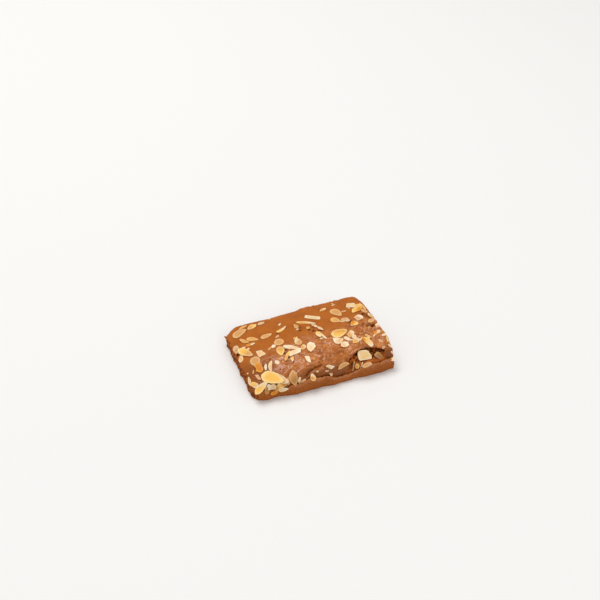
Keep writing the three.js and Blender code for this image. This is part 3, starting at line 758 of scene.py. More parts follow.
# %% The flakes of the right half
RIGHT_FLAKES = [
    (28.6, -8.8, 18, 10.6, 12, "slice", "yellow to honey", 0, 0, 0.5),
    (38.2, -14.2, 10.5, 7.2, 34, "wedge", "tan to cream"),
    (22.9, -18.2, 10.4, 12, 157, "half", "pale to white"),
    (26.6, -26, 9, 7.6, 10, "petal", "pale to white"),
    (31.6, -19.6, 7, 3.4, -60, "chip", "white", 0, 20, 0.3),
    (34.4, -22.6, 4, 2.4, -10, "shard", "white"),
    (39.6, -19, 5.4, 4.4, 80, "chip", "cream", 8),
    (38.7, -25.3, 9, 6.4, 10, "wedge", "honey to pale"),
    (48.8, -29.8, 14.6, 6.4, -80, "wedge", "yellow to cream", -3, 6),
    (46.6, -28.2, 10.6, 2.3, -82, "slice", "orange to yellow", -3, 6, 0.55),
    (44.4, -24.2, 6.4, 3.4, 40, "shard", "cream"),
    (52.3, -22.2, 7, 5, -50, "hook", "honey to cream"),
    (53.2, -23.8, 5, 1.5, -40, "curl", "yellow", 0, 0, 0.5),
    (45, -1.2, 3, 3.2, 0, "petal", "pink"),
    (27.9, 31.4, 9.4, 4.8, 15, "leaf", "honey to cream"),
    (38.2, 21.6, 14, 8.8, -62, "slice", "tan"),
    (46.4, 21.2, 6.4, 3, 5, "shard", "pink"),
    (41, 35.6, 4.6, 2.6, 40, "hook", "pale"),
    (41.5, 39.2, 2, 1.6, 0, "chip", "pale"),
    (57, 29.2, 12, 6, 8, "wedge", "cream"),
    (56, 32.6, 4, 2, 10, "chip", "pale"),
    (53.5, 24.8, 2.4, 2, 0, "chip", "pale"),
    (61.2, 25.4, 14, 6, -22, "fold", "cream to yellow", 0, 6, 0.6),
    (59.6, 18.8, 15, 7, 12, "wedge", "yellow to orange", 0, 0, 0.5),
    (62.4, 21.6, 9, 2.6, -30, "slice", "honey", 6, 10, 0.9),
    (67.6, 22.4, 13, 3, -82, "slice", "honey", 0, 12),
    (65.8, 14.8, 8, 4.4, -60, "petal", "pink to tan"),
    (32.8, 11.2, 10, 6.8, -38, "slice", "honey to tan"),
    (38.4, 7.4, 5, 2, -30, "chip", "pale"),
    (42.4, 8.3, 10, 7.2, -40, "leaf", "pink to pale"),
    (56.2, 6.6, 9.4, 8, 20, "square", "pink to white"),
    (48.5, 0.3, 7.6, 6, -35, "round", "orange to yellow"),
    (68.4, 6, 10, 4.6, 96, "leaf", "honey to cream", 0, 15),
    (66.4, -1.6, 9, 4.6, 20, "slice", "tan to pink"),
    (60.5, -8.2, 4, 2.6, 20, "chip", "tan"),
    (68.6, -10.6, 6.4, 5, 45, "petal", "pink to white"),
    (63.7, -19.4, 7.8, 6.2, -5, "fold", "orange to cream", 6),
    (59.4, -22.4, 6, 2.6, 38, "shard", "cream"),
    (68.2, -25.3, 4.6, 3, 10, "chip", "cream"),
    (69, -31.4, 7, 2.2, 80, "slice", "yellow", 0, 20),
    (68.6, -38.4, 6, 2.6, -60, "leaf", "cream"),
    (69, -43, 3.4, 2, -50, "chip", "cream"),
    (61.5, -32, 5, 3, -50, "chip", "pink"),
    (61.5, -38.7, 4, 2.5, 30, "chip", "pink"),
    (3.8, -43.1, 9.6, 4.2, -20, "kite", "pale to white"),
    (0.4, -44.6, 4, 1.8, -10, "shard", "pale"),
    (17.6, -43.6, 13, 5.6, 15, "half", "tan"),
]
print("flakes on the right:", len(RIGHT_FLAKES))

# %% [markdown]
# Some flakes don't lie on the crust. A few slid to the front edge, some stand in the tear, and a
# large square chip leans in its mouth. Torn scraps of crust stick up along the back rim and at the
# left tip, and as they are as thin as flakes, they are made the same way.

# %% Flakes that lean, stand or lie low
# Each row: x, y, z, length, width, turn, shape, tone, tilt, roll
LOW_FLAKES = [
    (-52.5, -46.8, 7.2, 7, 3.6, 3, "chip", "orange", 0, 75),
    (-43.4, -47, 8.7, 9.8, 3.7, -8, "slice", "cream to white", 0, 65),
    (-14.4, -47.2, 14.8, 7.4, 5, 92, "slice", "honey to cream", 36, 0),
    (3.8, -46, 14.4, 7.6, 3, 98, "slice", "pale", 50, 0),
    (40.3, -47.9, 13.8, 10, 4, 3, "chip", "tan to pink", 7, 34),
    (68.6, -47, 11.8, 5, 3.6, -20, "chip", "white", 0, 24),
    (27.6, -44.8, 13.2, 12.4, 5.4, -22, "slice", "olive", 84, 0),
    (31.6, -45.4, 12.8, 5, 4, 60, "chip", "honey", 50, 0),
    (36, -45, 12.6, 7.4, 4, -22, "slice", "pale", 72, 0),
    (41.7, -39.6, 18.5, 14.2, 11, 0, "block", "butter", 0, 43),
    (56, -43, 15.4, 9.8, 8.4, 108, "fin", "grey to olive", 50, 0),
]
# Scraps of crust, with the same numbers in each row
SCRAPS = [
    (-70.4, 41.2, 7.4, 7.6, 3.2, 118, "shard", "tan", 30, 0),
    (18, 46.4, 17.6, 3.6, 1.8, 10, "fold", "tan", 0, 20),
    (33, 46.6, 17.8, 3, 1.8, -20, "leaf", "tan", 10, 10),
    (47, 46.2, 17.8, 4, 2, 15, "fold", "tan", 0, 15),
    (60, 45.4, 17.8, 3.2, 1.8, -10, "leaf", "tan", 10, 0),
]
FLAKES = LEFT_FLAKES + MIDDLE_FLAKES + RIGHT_FLAKES
print("flakes:", len(FLAKES) + len(LOW_FLAKES))

# %% [markdown]
# One flake is two faces of rings that share their outermost ring. A flat disc with thickness would
# do for most, but a knife leaves small waves in the edge and the oven bends each flake a little,
# and it is these two that catch the light.

# %% Sizes and tones of a flake
FLAKE_THICKNESS, FLAKE_SUNK = 1.05, 0.45
FLAKE_SIDES = 48
EDGE_WAVE = 0.022
ARCH_CROWN = 0.35
RIPPLE_HEIGHT, RIPPLE_SIZE = 0.16, 3
INNER_RINGS = [0.2, 0.42, 0.62, 0.8]
# From the face round the rim: how far in from the edge, and how much of the thickness is left
EDGE_RINGS = [(0.42, 1.0), (0.15, 0.98), (0.04, 0.9)]
LEAST_EDGE_RING = 0.81
# Where along a flake one tone changes to the next, and where and how strong the painted highlight on the rim
# is
CHANGE_FROM, CHANGE_TO = -0.35, 0.45
RIM_HIGHLIGHT_FROM, RIM_HIGHLIGHT_TO, RIM_HIGHLIGHT = 0.5, 0.97, 0.9
SHADES, SLANTS = (0.94, 1.06), (-0.2, 0.2)


def tones_of(tone, places, shares, length, draw):
    """The colour of each point: from one tone to the next along the flake, and paler at the rim as a painted
    highlight.
    """
    ends = tone.split(" to ")
    face_start, rim_start = (np.array(paint(*c)) for c in TONES[ends[0]])
    face_end, rim_end = (np.array(paint(*c)) for c in TONES[ends[-1]])
    shade = draw.uniform(*SHADES)
    slant = draw.uniform(*SLANTS)
    colours = []
    for (px, py, _), share in zip(places, shares):
        along = px / MM / (length / 2) + slant * py / MM
        change = float(smooth(CHANGE_FROM, CHANGE_TO, along))
        # The rim is painted paler, as a painted highlight
        pale = float(smooth(RIM_HIGHLIGHT_FROM, RIM_HIGHLIGHT_TO, share)) * RIM_HIGHLIGHT
        colour = mix(mix(face_start, face_end, change), mix(rim_start, rim_end, change), pale) * shade
        colours.append((*colour[:3], 1))
    return colours


print("rings on each face of a flake:", len(INNER_RINGS) + len(EDGE_RINGS))

# %% Build one flake


def edge_of(shape, length, width, phase):
    """Points round a flake, with the small waves that a knife leaves."""
    edge = []
    for k in range(FLAKE_SIDES):
        a = 2 * math.pi * k / FLAKE_SIDES
        along, across = OUTLINES[shape](a)
        waves = math.sin(3 * a + phase) + 0.7 * math.sin(7 * a + 2 * phase) + 0.5 * math.sin(13 * a)
        reach = 1 + EDGE_WAVE * waves
        edge.append((along * reach * length / 2, across * reach * width / 2))
    return edge


def build_flake(centre, up, length, width, turn, shape, tone, tilt=0, roll=0, number=0):
    """One flake: its mesh, what is kept on each point, and how it lies. The number seeds its draws."""
    upright = Vector((0, 0, 1)).rotation_difference(Vector(up))
    lay = (
        Quaternion((0, 0, 1), math.radians(turn))
        @ Quaternion((0, 1, 0), math.radians(-tilt))
        @ Quaternion((1, 0, 0), math.radians(roll))
    )
    facing = upright @ lay
    draw = random.Random(number * 7 + 3)
    edge = edge_of(shape, length, width, draw.uniform(0, 6.28))
    thick = FLAKE_THICKNESS * draw.uniform(0.85, 1.1) * min(1, 0.75 + 0.04 * width)
    bend = BENDS.get(shape, USUAL_BEND) * length
    crown = ARCH_CROWN if bend > 0 else 0
    rings = [(share, 1.0) for share in INNER_RINGS]
    rings += [(max(1 - 2 * inset / width, LEAST_EDGE_RING), full) for inset, full in EDGE_RINGS]
    points, shares, places = [], [], []

    def put(px, py, full, side, share):
        """A point above or below its place on the flake, at a share of the full thickness."""
        arch = bend * (crown - (2 * px / length) ** 2)
        ripple = RIPPLE_HEIGHT * noise.noise(Vector((px / RIPPLE_SIZE, py / RIPPLE_SIZE, number * 3.1)))
        pz = arch + ripple + thick / 2 - FLAKE_SUNK + side * thick / 2 * full
        points.append(tuple(centre + facing @ Vector((px, py, pz))))
        shares.append(share)
        places.append((px * MM, py * MM, number * 0.01))
        return len(points) - 1

    hubs, sides = [], []
    for side in (1, -1):
        hubs.append(put(0, 0, 1, side, 0))
        sides.append([[put(px * r, py * r, full, side, r) for px, py in edge] for r, full in rings])
    rim = [put(px, py, 0, 1, 1) for px, py in edge]
    faces = []
    for hub, loops, order in zip(hubs, sides, (1, -1)):
        loops = [*loops, rim]
        for k in range(FLAKE_SIDES):
            n = (k + 1) % FLAKE_SIDES
            faces.append((hub, loops[0][k], loops[0][n])[::order])
            for inner, outer in zip(loops, loops[1:]):
                faces.append((inner[k], outer[k], outer[n], inner[n])[::order])
    tones = tones_of(tone, places, shares, length, draw)
    lie = (centre, facing, length, width)
    return {"points": points, "faces": faces, "tones": tones, "places": places, "lie": lie}


sample = build_flake(Vector((0, 0, 0)), (0, 0, 1), 20, 10, 0, "slice", "tan")
print("points in one flake:", len(sample["points"]))

# %% [markdown]
# All flakes become one mesh. It is lighter to handle than a hundred objects, and each point still
# carries its own colour and its own place on its flake, so the finish can draw lines along each
# one.

# %% Lay the flakes
# The three kinds are numbered apart, so that adding a flake to one leaves the draws of the others
FIRST_LOW, FIRST_SCRAP = 200, 300


def join_flakes(name, flakes, numbers=None):
    """One mesh of all the flakes, with the given numbers kept the same on every point."""
    joined = {"points": [], "faces": [], "tones": [], "places": []}
    for flake in flakes:
        start = len(joined["points"])
        joined["faces"] += [tuple(start + k for k in face) for face in flake["faces"]]
        for kept in ("points", "tones", "places"):
            joined[kept] += flake[kept]
    everywhere = {label: np.full(len(joined["points"]), value) for label, value in (numbers or {}).items()}
    item = make_mesh(name, joined["points"], joined["faces"], everywhere, joined["tones"])
    layer = item.data.attributes.new("own_place", "FLOAT_VECTOR", "POINT")
    layer.data.foreach_set("vector", np.asarray(joined["places"], dtype=np.float32).ravel())
    return item


def on_crust(number, row):
    """A flake that lies on the crust, or lifted off it where its row says so."""
    px, py, length, width, turn, shape, tone, *rest = row
    tilt, roll, lift = (*rest, 0, 0, 0)[:3]
    at_x, at_y = np.array([float(px)]), np.array([float(py)])
    up = crust_normal(at_x, at_y)[0]
    out = float(crust_relief(at_x, at_y)[0]) + lift
    centre = Vector((px, py, float(crust_height(at_x, at_y)[0]))) + Vector(up) * out
    return build_flake(centre, up, length, width, turn, shape, tone, tilt, roll, number)


def in_air(number, row):
    """A flake whose row gives its height too."""
    px, py, pz, *rest = row
    return build_flake(Vector((px, py, pz)), (0, 0, 1), *rest, number)


lying = [on_crust(number, row) for number, row in enumerate(FLAKES)]
leaning = [in_air(number, row) for number, row in enumerate(LOW_FLAKES, FIRST_LOW)]
almonds = join_flakes("almond_flakes", lying + leaning)
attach(almonds, "root")
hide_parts("speculoos_cake")
# The scraps take the crust finish, with a painted highlight on them
scraps = join_flakes(
    "crust_scraps",
    [in_air(number, row) for number, row in enumerate(SCRAPS, FIRST_SCRAP)],
    {"crumb": 0.15, "shine": 0.6, "hollow": 0, "wrinkle_light": 0.7, "browner": 0},
)
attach(scraps, "root")
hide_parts("speculoos_cake")
print("almond triangles:", sum(len(p.vertices) - 2 for p in almonds.data.polygons))

# %% [markdown]
# ## The mesh of the slab
#
# The top is a grid whose lines gather towards the edges, where the crust turns down. Below its rim
# come rows that go down to the table: a plain side at the back and ends, and on the front a dip
# and then the ledge. Points that carry extra numbers make the finish easier later: how much of
# each point is crumb, how wet it is, how much painted shade it gets, and how far it stands up as a
# wrinkle, which sets its painted highlight.

# %% Edges of the slab in plan
GATHERING = 0.5


def left_edge(v):
    return LEFT + corner_pull(v, at_start=3.2, at_end=1) + edge_wobble(v, phase=0.7, ragged=0.22)


def right_edge(v):
    narrow = 1.2 * smooth(0.3, 0, v) + 2.2 * smooth(0.62, 1, v)
    pull = corner_pull(v, at_start=0.8, at_end=0.8)
    return RIGHT - narrow - pull + edge_wobble(v, phase=2.1, ragged=0.16)


def back_edge(u):
    narrow = 2.4 * smooth(0.26, 0, u)
    pull = corner_pull(u, at_start=2.6, at_end=1.4)
    return BACK - pull - narrow + edge_wobble(u, phase=5.2, ragged=0.1)


def towards_edges(t):
    """Even shares from 0 to 1, gathered towards both ends."""
    return mix(t, (1 - np.cos(np.pi * t)) / 2, GATHERING)


print("length through the middle, mm:", round(float(right_edge(0.5) - left_edge(0.5)), 1))

# %% Top of the slab
ALONG, ACROSS = 300, 200
RIM_ROW = 40
CROWDING = 1.9

u = np.repeat(towards_edges(np.linspace(0, 1, ALONG + 1))[None, :], ACROSS + 1, axis=0)
rows = towards_edges(np.linspace(0, 1, ACROSS + 1))
rough_x = mix(left_edge(0.1), right_edge(0.1), u)
edge_front, edge_back = front_edge(u), back_edge(u)
tear_y = rim_of_tear(rough_x)
deep_here = tear_depth(rough_x)

# Rows before the rim of the tear crowd up to it where the tear is open
rim_v = (tear_y - edge_front) / (edge_back - edge_front)
row_number = np.arange(ACROSS + 1)[:, None]
row_share = rows[:, None] / rows[RIM_ROW]
steps_to_rim = np.clip(row_number / RIM_ROW, 0, 1)
crowded = 1 - (1 - steps_to_rim) ** CROWDING
before_rim = rim_v * mix(row_share, crowded, smooth(0, 3, deep_here))
beyond_rim = rim_v + (rows[:, None] - rows[RIM_ROW]) * (1 - rim_v) / (1 - rows[RIM_ROW])
v = np.where(row_number <= RIM_ROW, before_rim, beyond_rim)

x = mix(left_edge(v), right_edge(v), u)
y = mix(edge_front, edge_back, v)
normal = crust_normal(x, y)
flat_points = np.stack([x, y, crust_height(x, y)], axis=-1).reshape(-1, 3)
from_edge = np.minimum.reduce([x - left_edge(v), right_edge(v) - x, y - edge_front, edge_back - y])
print("points on top:", x.size)

# %% [markdown]
# The relief is added up from the coarse to the fine: the folds, then the wrinkles, which are
# strongest where the crust is wet, then creases, ridges and torn lumps, and the holes last. A
# sculpting brush would do the same by hand. What each step finds out, such as how deep a point lies
# in a crease, is kept for the finish, which paints shade on the crust there.

# %% Noises of the crust


def on_top(make, stretch, size, seed):
    """One number for each point on top, from the noise called `make`."""
    return make(flat_points * stretch, size, seed).reshape(x.shape)


WIDE, THIN = 5.2, 2.7
coarse = on_top(grain, (1, 1.2, 1), 8, 1)
wide_wrinkle = on_top(wrinkles, (0.8, 1.25, 1), WIDE, 2)
thin_wrinkle = on_top(wrinkles, (0.85, 1.2, 1), THIN, 12)
fine = on_top(grain, 1, 1.35, 3)
rim_crumbs = smooth(-0.1, 0.35, on_top(grain, 1, 2.6, 21))
torn_grain = on_top(grain, 1, 2, 31)
shine = shine_of(x, y)
bumpy = 1 + 0.8 * smooth(30, 62, x) - 0.5 * smooth(-8, -34, x)
print("wrinkles, mm across:", WIDE, "and", THIN)

# %% Relief of the crust
# Heights in millimetres where the crust is wet, and where it is dry
SWELL, WET_WIDE, WET_THIN, WET_FINE = 0.22, 0.32, 0.13, 0.06
DRY_THIN, DRY_FINE = 0.04, 0.03
RAISED_BESIDE_CREASE = 0.35
TORN_FINE, TORN_COARSE = 0.5, 0.6
RIM_CRUMBS_FROM, RIM_CRUMBS_TO = 9, 66
RIM_CRUMBS_INSET, RIM_CRUMBS_HEIGHT = 3.4, 0.9
LIP_HEIGHT = 0.45

relief = crust_relief(x, y) + SWELL * coarse * bumpy
relief = relief + shine * bumpy * (WET_WIDE * wide_wrinkle + WET_THIN * thin_wrinkle + WET_FINE * fine)
relief = relief + (1 - shine) * (DRY_FINE * fine + DRY_THIN * thin_wrinkle)
creased = np.zeros(x.shape)
for line, depth, reach in SHARP_FOLDS:
    near = distance_to(line, x, y)
    crease = np.exp(-near / reach)
    relief = relief - depth * crease
    relief = relief + RAISED_BESIDE_CREASE * depth * bell(near - 2 * reach, reach)
    creased = np.maximum(creased, min(depth, 1) * crease)
raised = np.zeros(x.shape)
for line, height, reach in RIDGES:
    ridge = bell(distance_to(line, x, y) + 0.5 * coarse, reach)
    relief = relief + height * ridge
    raised = np.maximum(raised, ridge)

back_bits = bell(y - (BACK - RIM_CRUMBS_INSET), 2) * smooth(RIM_CRUMBS_FROM, RIM_CRUMBS_FROM + 5, x)
back_bits = back_bits * smooth(RIM_CRUMBS_TO, RIM_CRUMBS_TO - 6, x) * rim_crumbs
relief = relief + RIM_CRUMBS_HEIGHT * back_bits
torn_skin = np.zeros(x.shape)
for place_x, place_y, reach, _ in LUMPS:
    torn_skin = np.maximum(torn_skin, bell(np.hypot(x - place_x, y - place_y), 1.1 * reach))
relief = relief + torn_skin * (TORN_FINE * fine + TORN_COARSE * torn_grain)
hole_depth, hollow = broken_places(x, y)
rim_lip = bell(y - tear_y - 0.9, 0.9) * smooth(1, 3, deep_here)
relief = (relief - hole_depth + LIP_HEIGHT * rim_lip) * smooth(0, 1.2, from_edge)
print("relief, mm:", round(float(relief.min()), 2), "to", round(float(relief.max()), 2))

# %% What the relief tells the finish
# Painted shade in the creases
hollow = np.maximum(hollow, 0.55 * creased)
# How far the wrinkles stand up: high places get a painted highlight and low ones painted shade, and the
# crumbs on the back rim get a painted highlight too
wrinkle_light = np.clip(0.3 + bumpy * (0.35 * wide_wrinkle + 0.3 * thin_wrinkle + 0.3 * fine), 0, 1)
wrinkle_light = np.maximum(wrinkle_light, np.maximum(raised * (0.6 + 0.4 * fine), back_bits))
shine = np.maximum(shine, back_bits)
print("share of the top that is hollow:", round(float((hollow > 0.25).mean()), 3))

# %% [markdown]
# In the tear the inside of the cake shows: crumbs and bubbles, with a dark gap right under the rim,
# which is cut in and darkened with painted shade. The points there go in along the profile of the
# tear first and then in and out with the noise of the crumb, so the bubbles are real hollows that
# shade each other, and painted shade darkens them further.

# %% Push the tear in under the crust
s = np.clip((y - edge_front) / np.maximum(tear_y - edge_front, 0.1), 0, 1)
in_tear = (s < 0.999) * smooth(0.0, 1.2, deep_here)
deep_share, under = tear_profile(s)
push = deep_here * deep_share * (s < 1)
top = flat_points.reshape(*x.shape, 3) + normal * (relief * (1 - in_tear))[..., None]
top = top - normal * push[..., None]
top[..., 1] += under * smooth(1, 4, deep_here) * (s < 1)
print("share of the top that is torn:", round(float((in_tear > 0.5).mean()), 3))

# %% Crumb inside the tear
# The deepest pockets: x, height as a share of the tear, and size
DEEP_PLACES = [(26.6, 0.9, 1.4), (30.4, 0.72, 1.0), (50.6, 0.8, 1.5), (58.4, 0.76, 1.7), (54.4, 0.62, 1.2)]
DEEP_PLACE_DEPTH = 1.2
# How far the crumb swells out, and how far its lumps and pores stand out or in, in millimetres
SWOLLEN, LUMP_HEIGHT, LARGE_DEPTH, SMALL_DEPTH = 0.25, 0.6, 1.1, 0.6
# How dark the painted shade gets in each sort of hollow
DARK_LARGE, DARK_SMALL, DARK_UNDER_RIM, DARK_BELOW_CHIP, DARK_DEEP = 0.62, 0.85, 0.5, 0.8, 0.75

crumbly = in_tear * smooth(0, 0.08, s) * (1 - smooth(0.98, 1, s))
torn_rows = slice(0, RIM_ROW + 1)
torn_points = top[torn_rows].reshape(-1, 3)
large_pores, small_pores, lumpy = np.zeros((3, *x.shape))
large_pores[torn_rows] = pits(torn_points, 2.4, 4).reshape(-1, x.shape[1])
small_pores[torn_rows] = pits(torn_points, 1.2, 5).reshape(-1, x.shape[1])
lumpy[torn_rows] = grain(torn_points, 2.2, 14).reshape(-1, x.shape[1])
crumb_out = LUMP_HEIGHT * lumpy - LARGE_DEPTH * large_pores - SMALL_DEPTH * small_pores + SWOLLEN
crumb_out = crumbly * crumb_out
top = top + normal * crumb_out[..., None]

# Painted shade in the pores and in the gap under the rim, and a painted shadow below the large chip
in_pores = crumbly * np.maximum(DARK_LARGE * large_pores, DARK_SMALL * small_pores)
under_rim = in_tear * DARK_UNDER_RIM * bell(s - 0.95, 0.05) * smooth(2, 4, deep_here)
shadow_below_chip = bell(s - 0.3, 0.16) * smooth(32, 37, x) * smooth(58, 48, x)
shadow_below_chip = in_tear * DARK_BELOW_CHIP * shadow_below_chip * (0.85 + 0.5 * lumpy)
hollow = np.maximum.reduce([hollow, in_pores, under_rim, shadow_below_chip])
# The deepest pockets are pushed in and get painted shade too
for place, height, size in DEEP_PLACES:
    pocket = bell(np.hypot(x - place, (s - height) * 12), size) * in_tear
    top = top - normal * (DEEP_PLACE_DEPTH * pocket)[..., None]
    hollow = np.maximum(hollow, DARK_DEEP * pocket)
crumb = np.maximum(in_tear * smooth(1.0, 0.985, s), 0.3 * torn_skin)
print("crumb stands in and out by, mm:", round(float(np.ptp(crumb_out)), 1))

# %% [markdown]
# The flakes were strewn on the raw batter, so the crust set flat below them and swelled a little
# round them. Each flake therefore presses down the points below it, and keeps its whole face. The
# crust right beside a flake gets a thin painted shadow, a dark line round the flake.

# %% Press the crust down below the flakes
JUST_UNDER, PRESS_HEIGHT = -0.05, 4
# Width and strength of the painted shadow round each flake
FLAKE_SHADOW_WIDTH, FLAKE_SHADOW = 0.6, 0.42


def press(points, centre, facing, length, width):
    """The points pushed down below a flake, and how near each lies to its edge."""
    axes = np.array(facing.to_matrix())
    local = (points - np.array(centre)) @ axes
    share = np.hypot(local[..., 0] / (length / 2), local[..., 1] / (width / 2))
    close = abs(local[..., 2]) < PRESS_HEIGHT
    below = smooth(1.18, 0.95, share) * close
    local[..., 2] = mix(local[..., 2], np.minimum(local[..., 2], JUST_UNDER), below)
    beside = bell((share - 1) * min(length, width) / 2, FLAKE_SHADOW_WIDTH) * close
    return local @ axes.T + np.array(centre), beside


for flake in lying:
    centre, facing, length, width = flake["lie"]
    reach = length / 2 + 2
    near = (abs(top[..., 0] - centre.x) < reach) & (abs(top[..., 1] - centre.y) < reach) & (in_tear < 0.5)
    top[near], beside = press(top[near], centre, facing, length, width)
    hollow[near] = np.maximum(hollow[near], FLAKE_SHADOW * beside)
print("flakes pressed in:", len(lying))

# %% [markdown]
# The sides hang from the rim of the top, row below row. A swept profile would be too even, so each
# row is pushed out along the rim's own outward direction and then roughened. The ends were cut and
# show open crumb with painted shade in its pores, and along the front the ledge steps out below a
# groove with a painted shadow line in it.

# %% Rim of the top
index = np.arange(x.size).reshape(x.shape)
rim = np.concatenate([index[0, :-1], index[:-1, -1], index[-1, :0:-1], index[:0:-1, 0]])
points = top.reshape(-1, 3)
rim_points = points[rim]
outward = np.roll(rim_points, -1, 0) - np.roll(rim_points, 1, 0)
for _ in range(4):
    outward = outward + np.roll(outward, 1, 0) + np.roll(outward, -1, 0)
outward = np.stack([outward[:, 1], -outward[:, 0], 0 * outward[:, 0]], axis=-1)
outward /= np.linalg.norm(outward, axis=1, keepdims=True)
ledge = smooth(0.6, 0.95, -outward[:, 1]) * smooth(-46, -34, rim_points[:, 0])
cut_end = smooth(0.55, 0.9, abs(outward[:, 0]))
print("points round the rim:", len(rim))

# %% Rows of the sides
SIDE_ROWS = 34
# From rim to table: how far out, and how far down as a share of the height
PLAIN_SIDE = [(0, 0), (0.2, 0.05), (0.35, 0.14), (0.3, 0.38), (0.2, 0.58), (0.1, 0.8), (0, 1)]
PLAIN_STEPS = np.linspace(0, 1, len(PLAIN_SIDE))
# The same on the front, both in millimetres, for a rim as high as the ledge
LEDGE_SIDE = [
    (0, 0), (0.2, 0.9), (1, 0), (2, -0.5), (LEDGE_OUT, 1), (LEDGE_OUT - 0.2, 4.8), (2, LEDGE_HEIGHT),
]
LEDGE_STEPS = [0, 0.1, 0.22, 0.34, 0.48, 0.7, 1]


def out_and_down(side, side_steps, step):
    """How far out and how far down a side has come at one step."""
    return [np.interp(step, side_steps, column) for column in zip(*side)]


steps = np.linspace(0, 1, SIDE_ROWS + 1)[1:] ** 1.1
side_layers, side_crumb, side_hollow = [], [], []
height = rim_points[:, 2]
for step in steps:
    plain_out, plain_down = out_and_down(PLAIN_SIDE, PLAIN_STEPS, step)
    ledge_out, ledge_down = out_and_down(LEDGE_SIDE, LEDGE_STEPS, step)
    down = mix(plain_down * height, ledge_down * height / LEDGE_HEIGHT, ledge)
    layer = rim_points + outward * mix(plain_out, ledge_out, ledge)[:, None]
    layer[:, 2] = height - down if step < 1 else 0

    big = pits(layer, 2.7, 6, least=0.02, most=0.34)
    small = pits(layer, 1.7, 7, least=0.1, most=0.38)
    lump, crumbs = grain(layer, 5, 8), grain(layer, 1.5, 9)
    skin = 0.3 * lump + 0.14 * crumbs + 0.12 * wrinkles(layer * (0.6, 0.6, 1.6), 3, 15) - 0.4 * (big > 0.9)
    skin = skin + 0.1 * grain(layer, 0.9, 17)
    open_crumb = 0.5 * lump + 0.4 * crumbs - 1.4 * big - 0.9 * small + 0.2
    rough = mix(skin, open_crumb, cut_end) * min(step / 0.1, 1) * (1 - step) ** 0.3
    side_layers.append(layer + outward * rough[:, None])

    baked_skin = (0.35 + 0.3 * crumbs) * (1 - cut_end) * (1 - 0.7 * ledge * (step < 0.5))
    side_crumb.append(np.clip(cut_end + baked_skin, 0, 1))
    # Painted shade in the pores of the cut ends, and a painted shadow line in the groove above the ledge
    groove = ledge * bell(step - 0.14, 0.09)
    side_hollow.append(np.maximum(cut_end * np.maximum(0.55 * big, 0.55 * small), 0.8 * groove))
print("rows down the sides:", len(side_layers))

# %% Faces of the slab
count = len(rim)
all_points = np.concatenate([points, *side_layers, [[0, 0, 0]]])
faces = []
for j in range(ACROSS):
    for i in range(ALONG):
        faces.append((index[j, i], index[j, i + 1], index[j + 1, i + 1], index[j + 1, i]))
above = list(rim)
for row in range(SIDE_ROWS):
    here = [len(points) + row * count + k for k in range(count)]
    for k in range(count):
        after = (k + 1) % count
        faces.append((here[k], here[after], above[after], above[k]))
    above = here
hub = len(all_points) - 1
faces += [(hub, above[(k + 1) % count], above[k]) for k in range(count)]
print("slab:", len(all_points), "points,", len(faces), "faces")

# %% [markdown]
# Some places are painted a darker brown than the rest: the front rim, the low left front, and the
# torn lumps. That is one more number on each point, and with it the mesh is made.

# %% Make the slab


def with_sides(on_top, on_sides, at_hub):
    """The numbers of the top, the sides and the middle of the underside, in the order of the points."""
    return np.concatenate([np.ravel(on_top), *on_sides, [at_hub]])


# Where the crust is painted a darker brown: along the front rim, at the low left front, on the torn lumps and
# a little on the sides
front_browner = 0.97 * (smooth(9, 1, y - edge_front) * (0.75 + 0.25 * smooth(20, 60, x)))
corner_browner = 0.65 * smooth(-36, -54, x) * smooth(0, -20, y)
browner = np.maximum.reduce([front_browner, corner_browner, 0.9 * torn_skin])
side_browner = [0.3 * (1 - ledge * (step < 0.5)) for step in steps]
side_shine = [0.8 * ledge * (0.2 < step < 0.6) + 0.2 * (1 - cut_end) for step in steps]
# Painted highlight and painted shade on the sides, set by noise and lighter on the ledge
side_wrinkle_light = [np.clip(0.4 + 0.2 * ledge + 0.9 * grain(layer, 1.8, 16), 0, 1) for layer in side_layers]
slab = make_mesh("cake_slab", all_points, faces, {
    "crumb": with_sides(crumb, side_crumb, 0.4),
    "shine": with_sides(shine * (1 - in_tear), side_shine, 0),
    "hollow": with_sides(hollow, side_hollow, 0),
    "wrinkle_light": with_sides(wrinkle_light, side_wrinkle_light, 0.5),
    "browner": with_sides(browner, side_browner, 0.3),
})
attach(slab, "root")
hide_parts("speculoos_cake")
print("slab triangles:", sum(len(p.vertices) - 2 for p in slab.data.polygons))

# %% [markdown]
# ## A short way to build a finish
#
# A finish is a small graph of noises, blends and bumps. Writing each node out takes four lines, so
# a helper adds a node and joins its sockets in one call.

# %% Finish helper


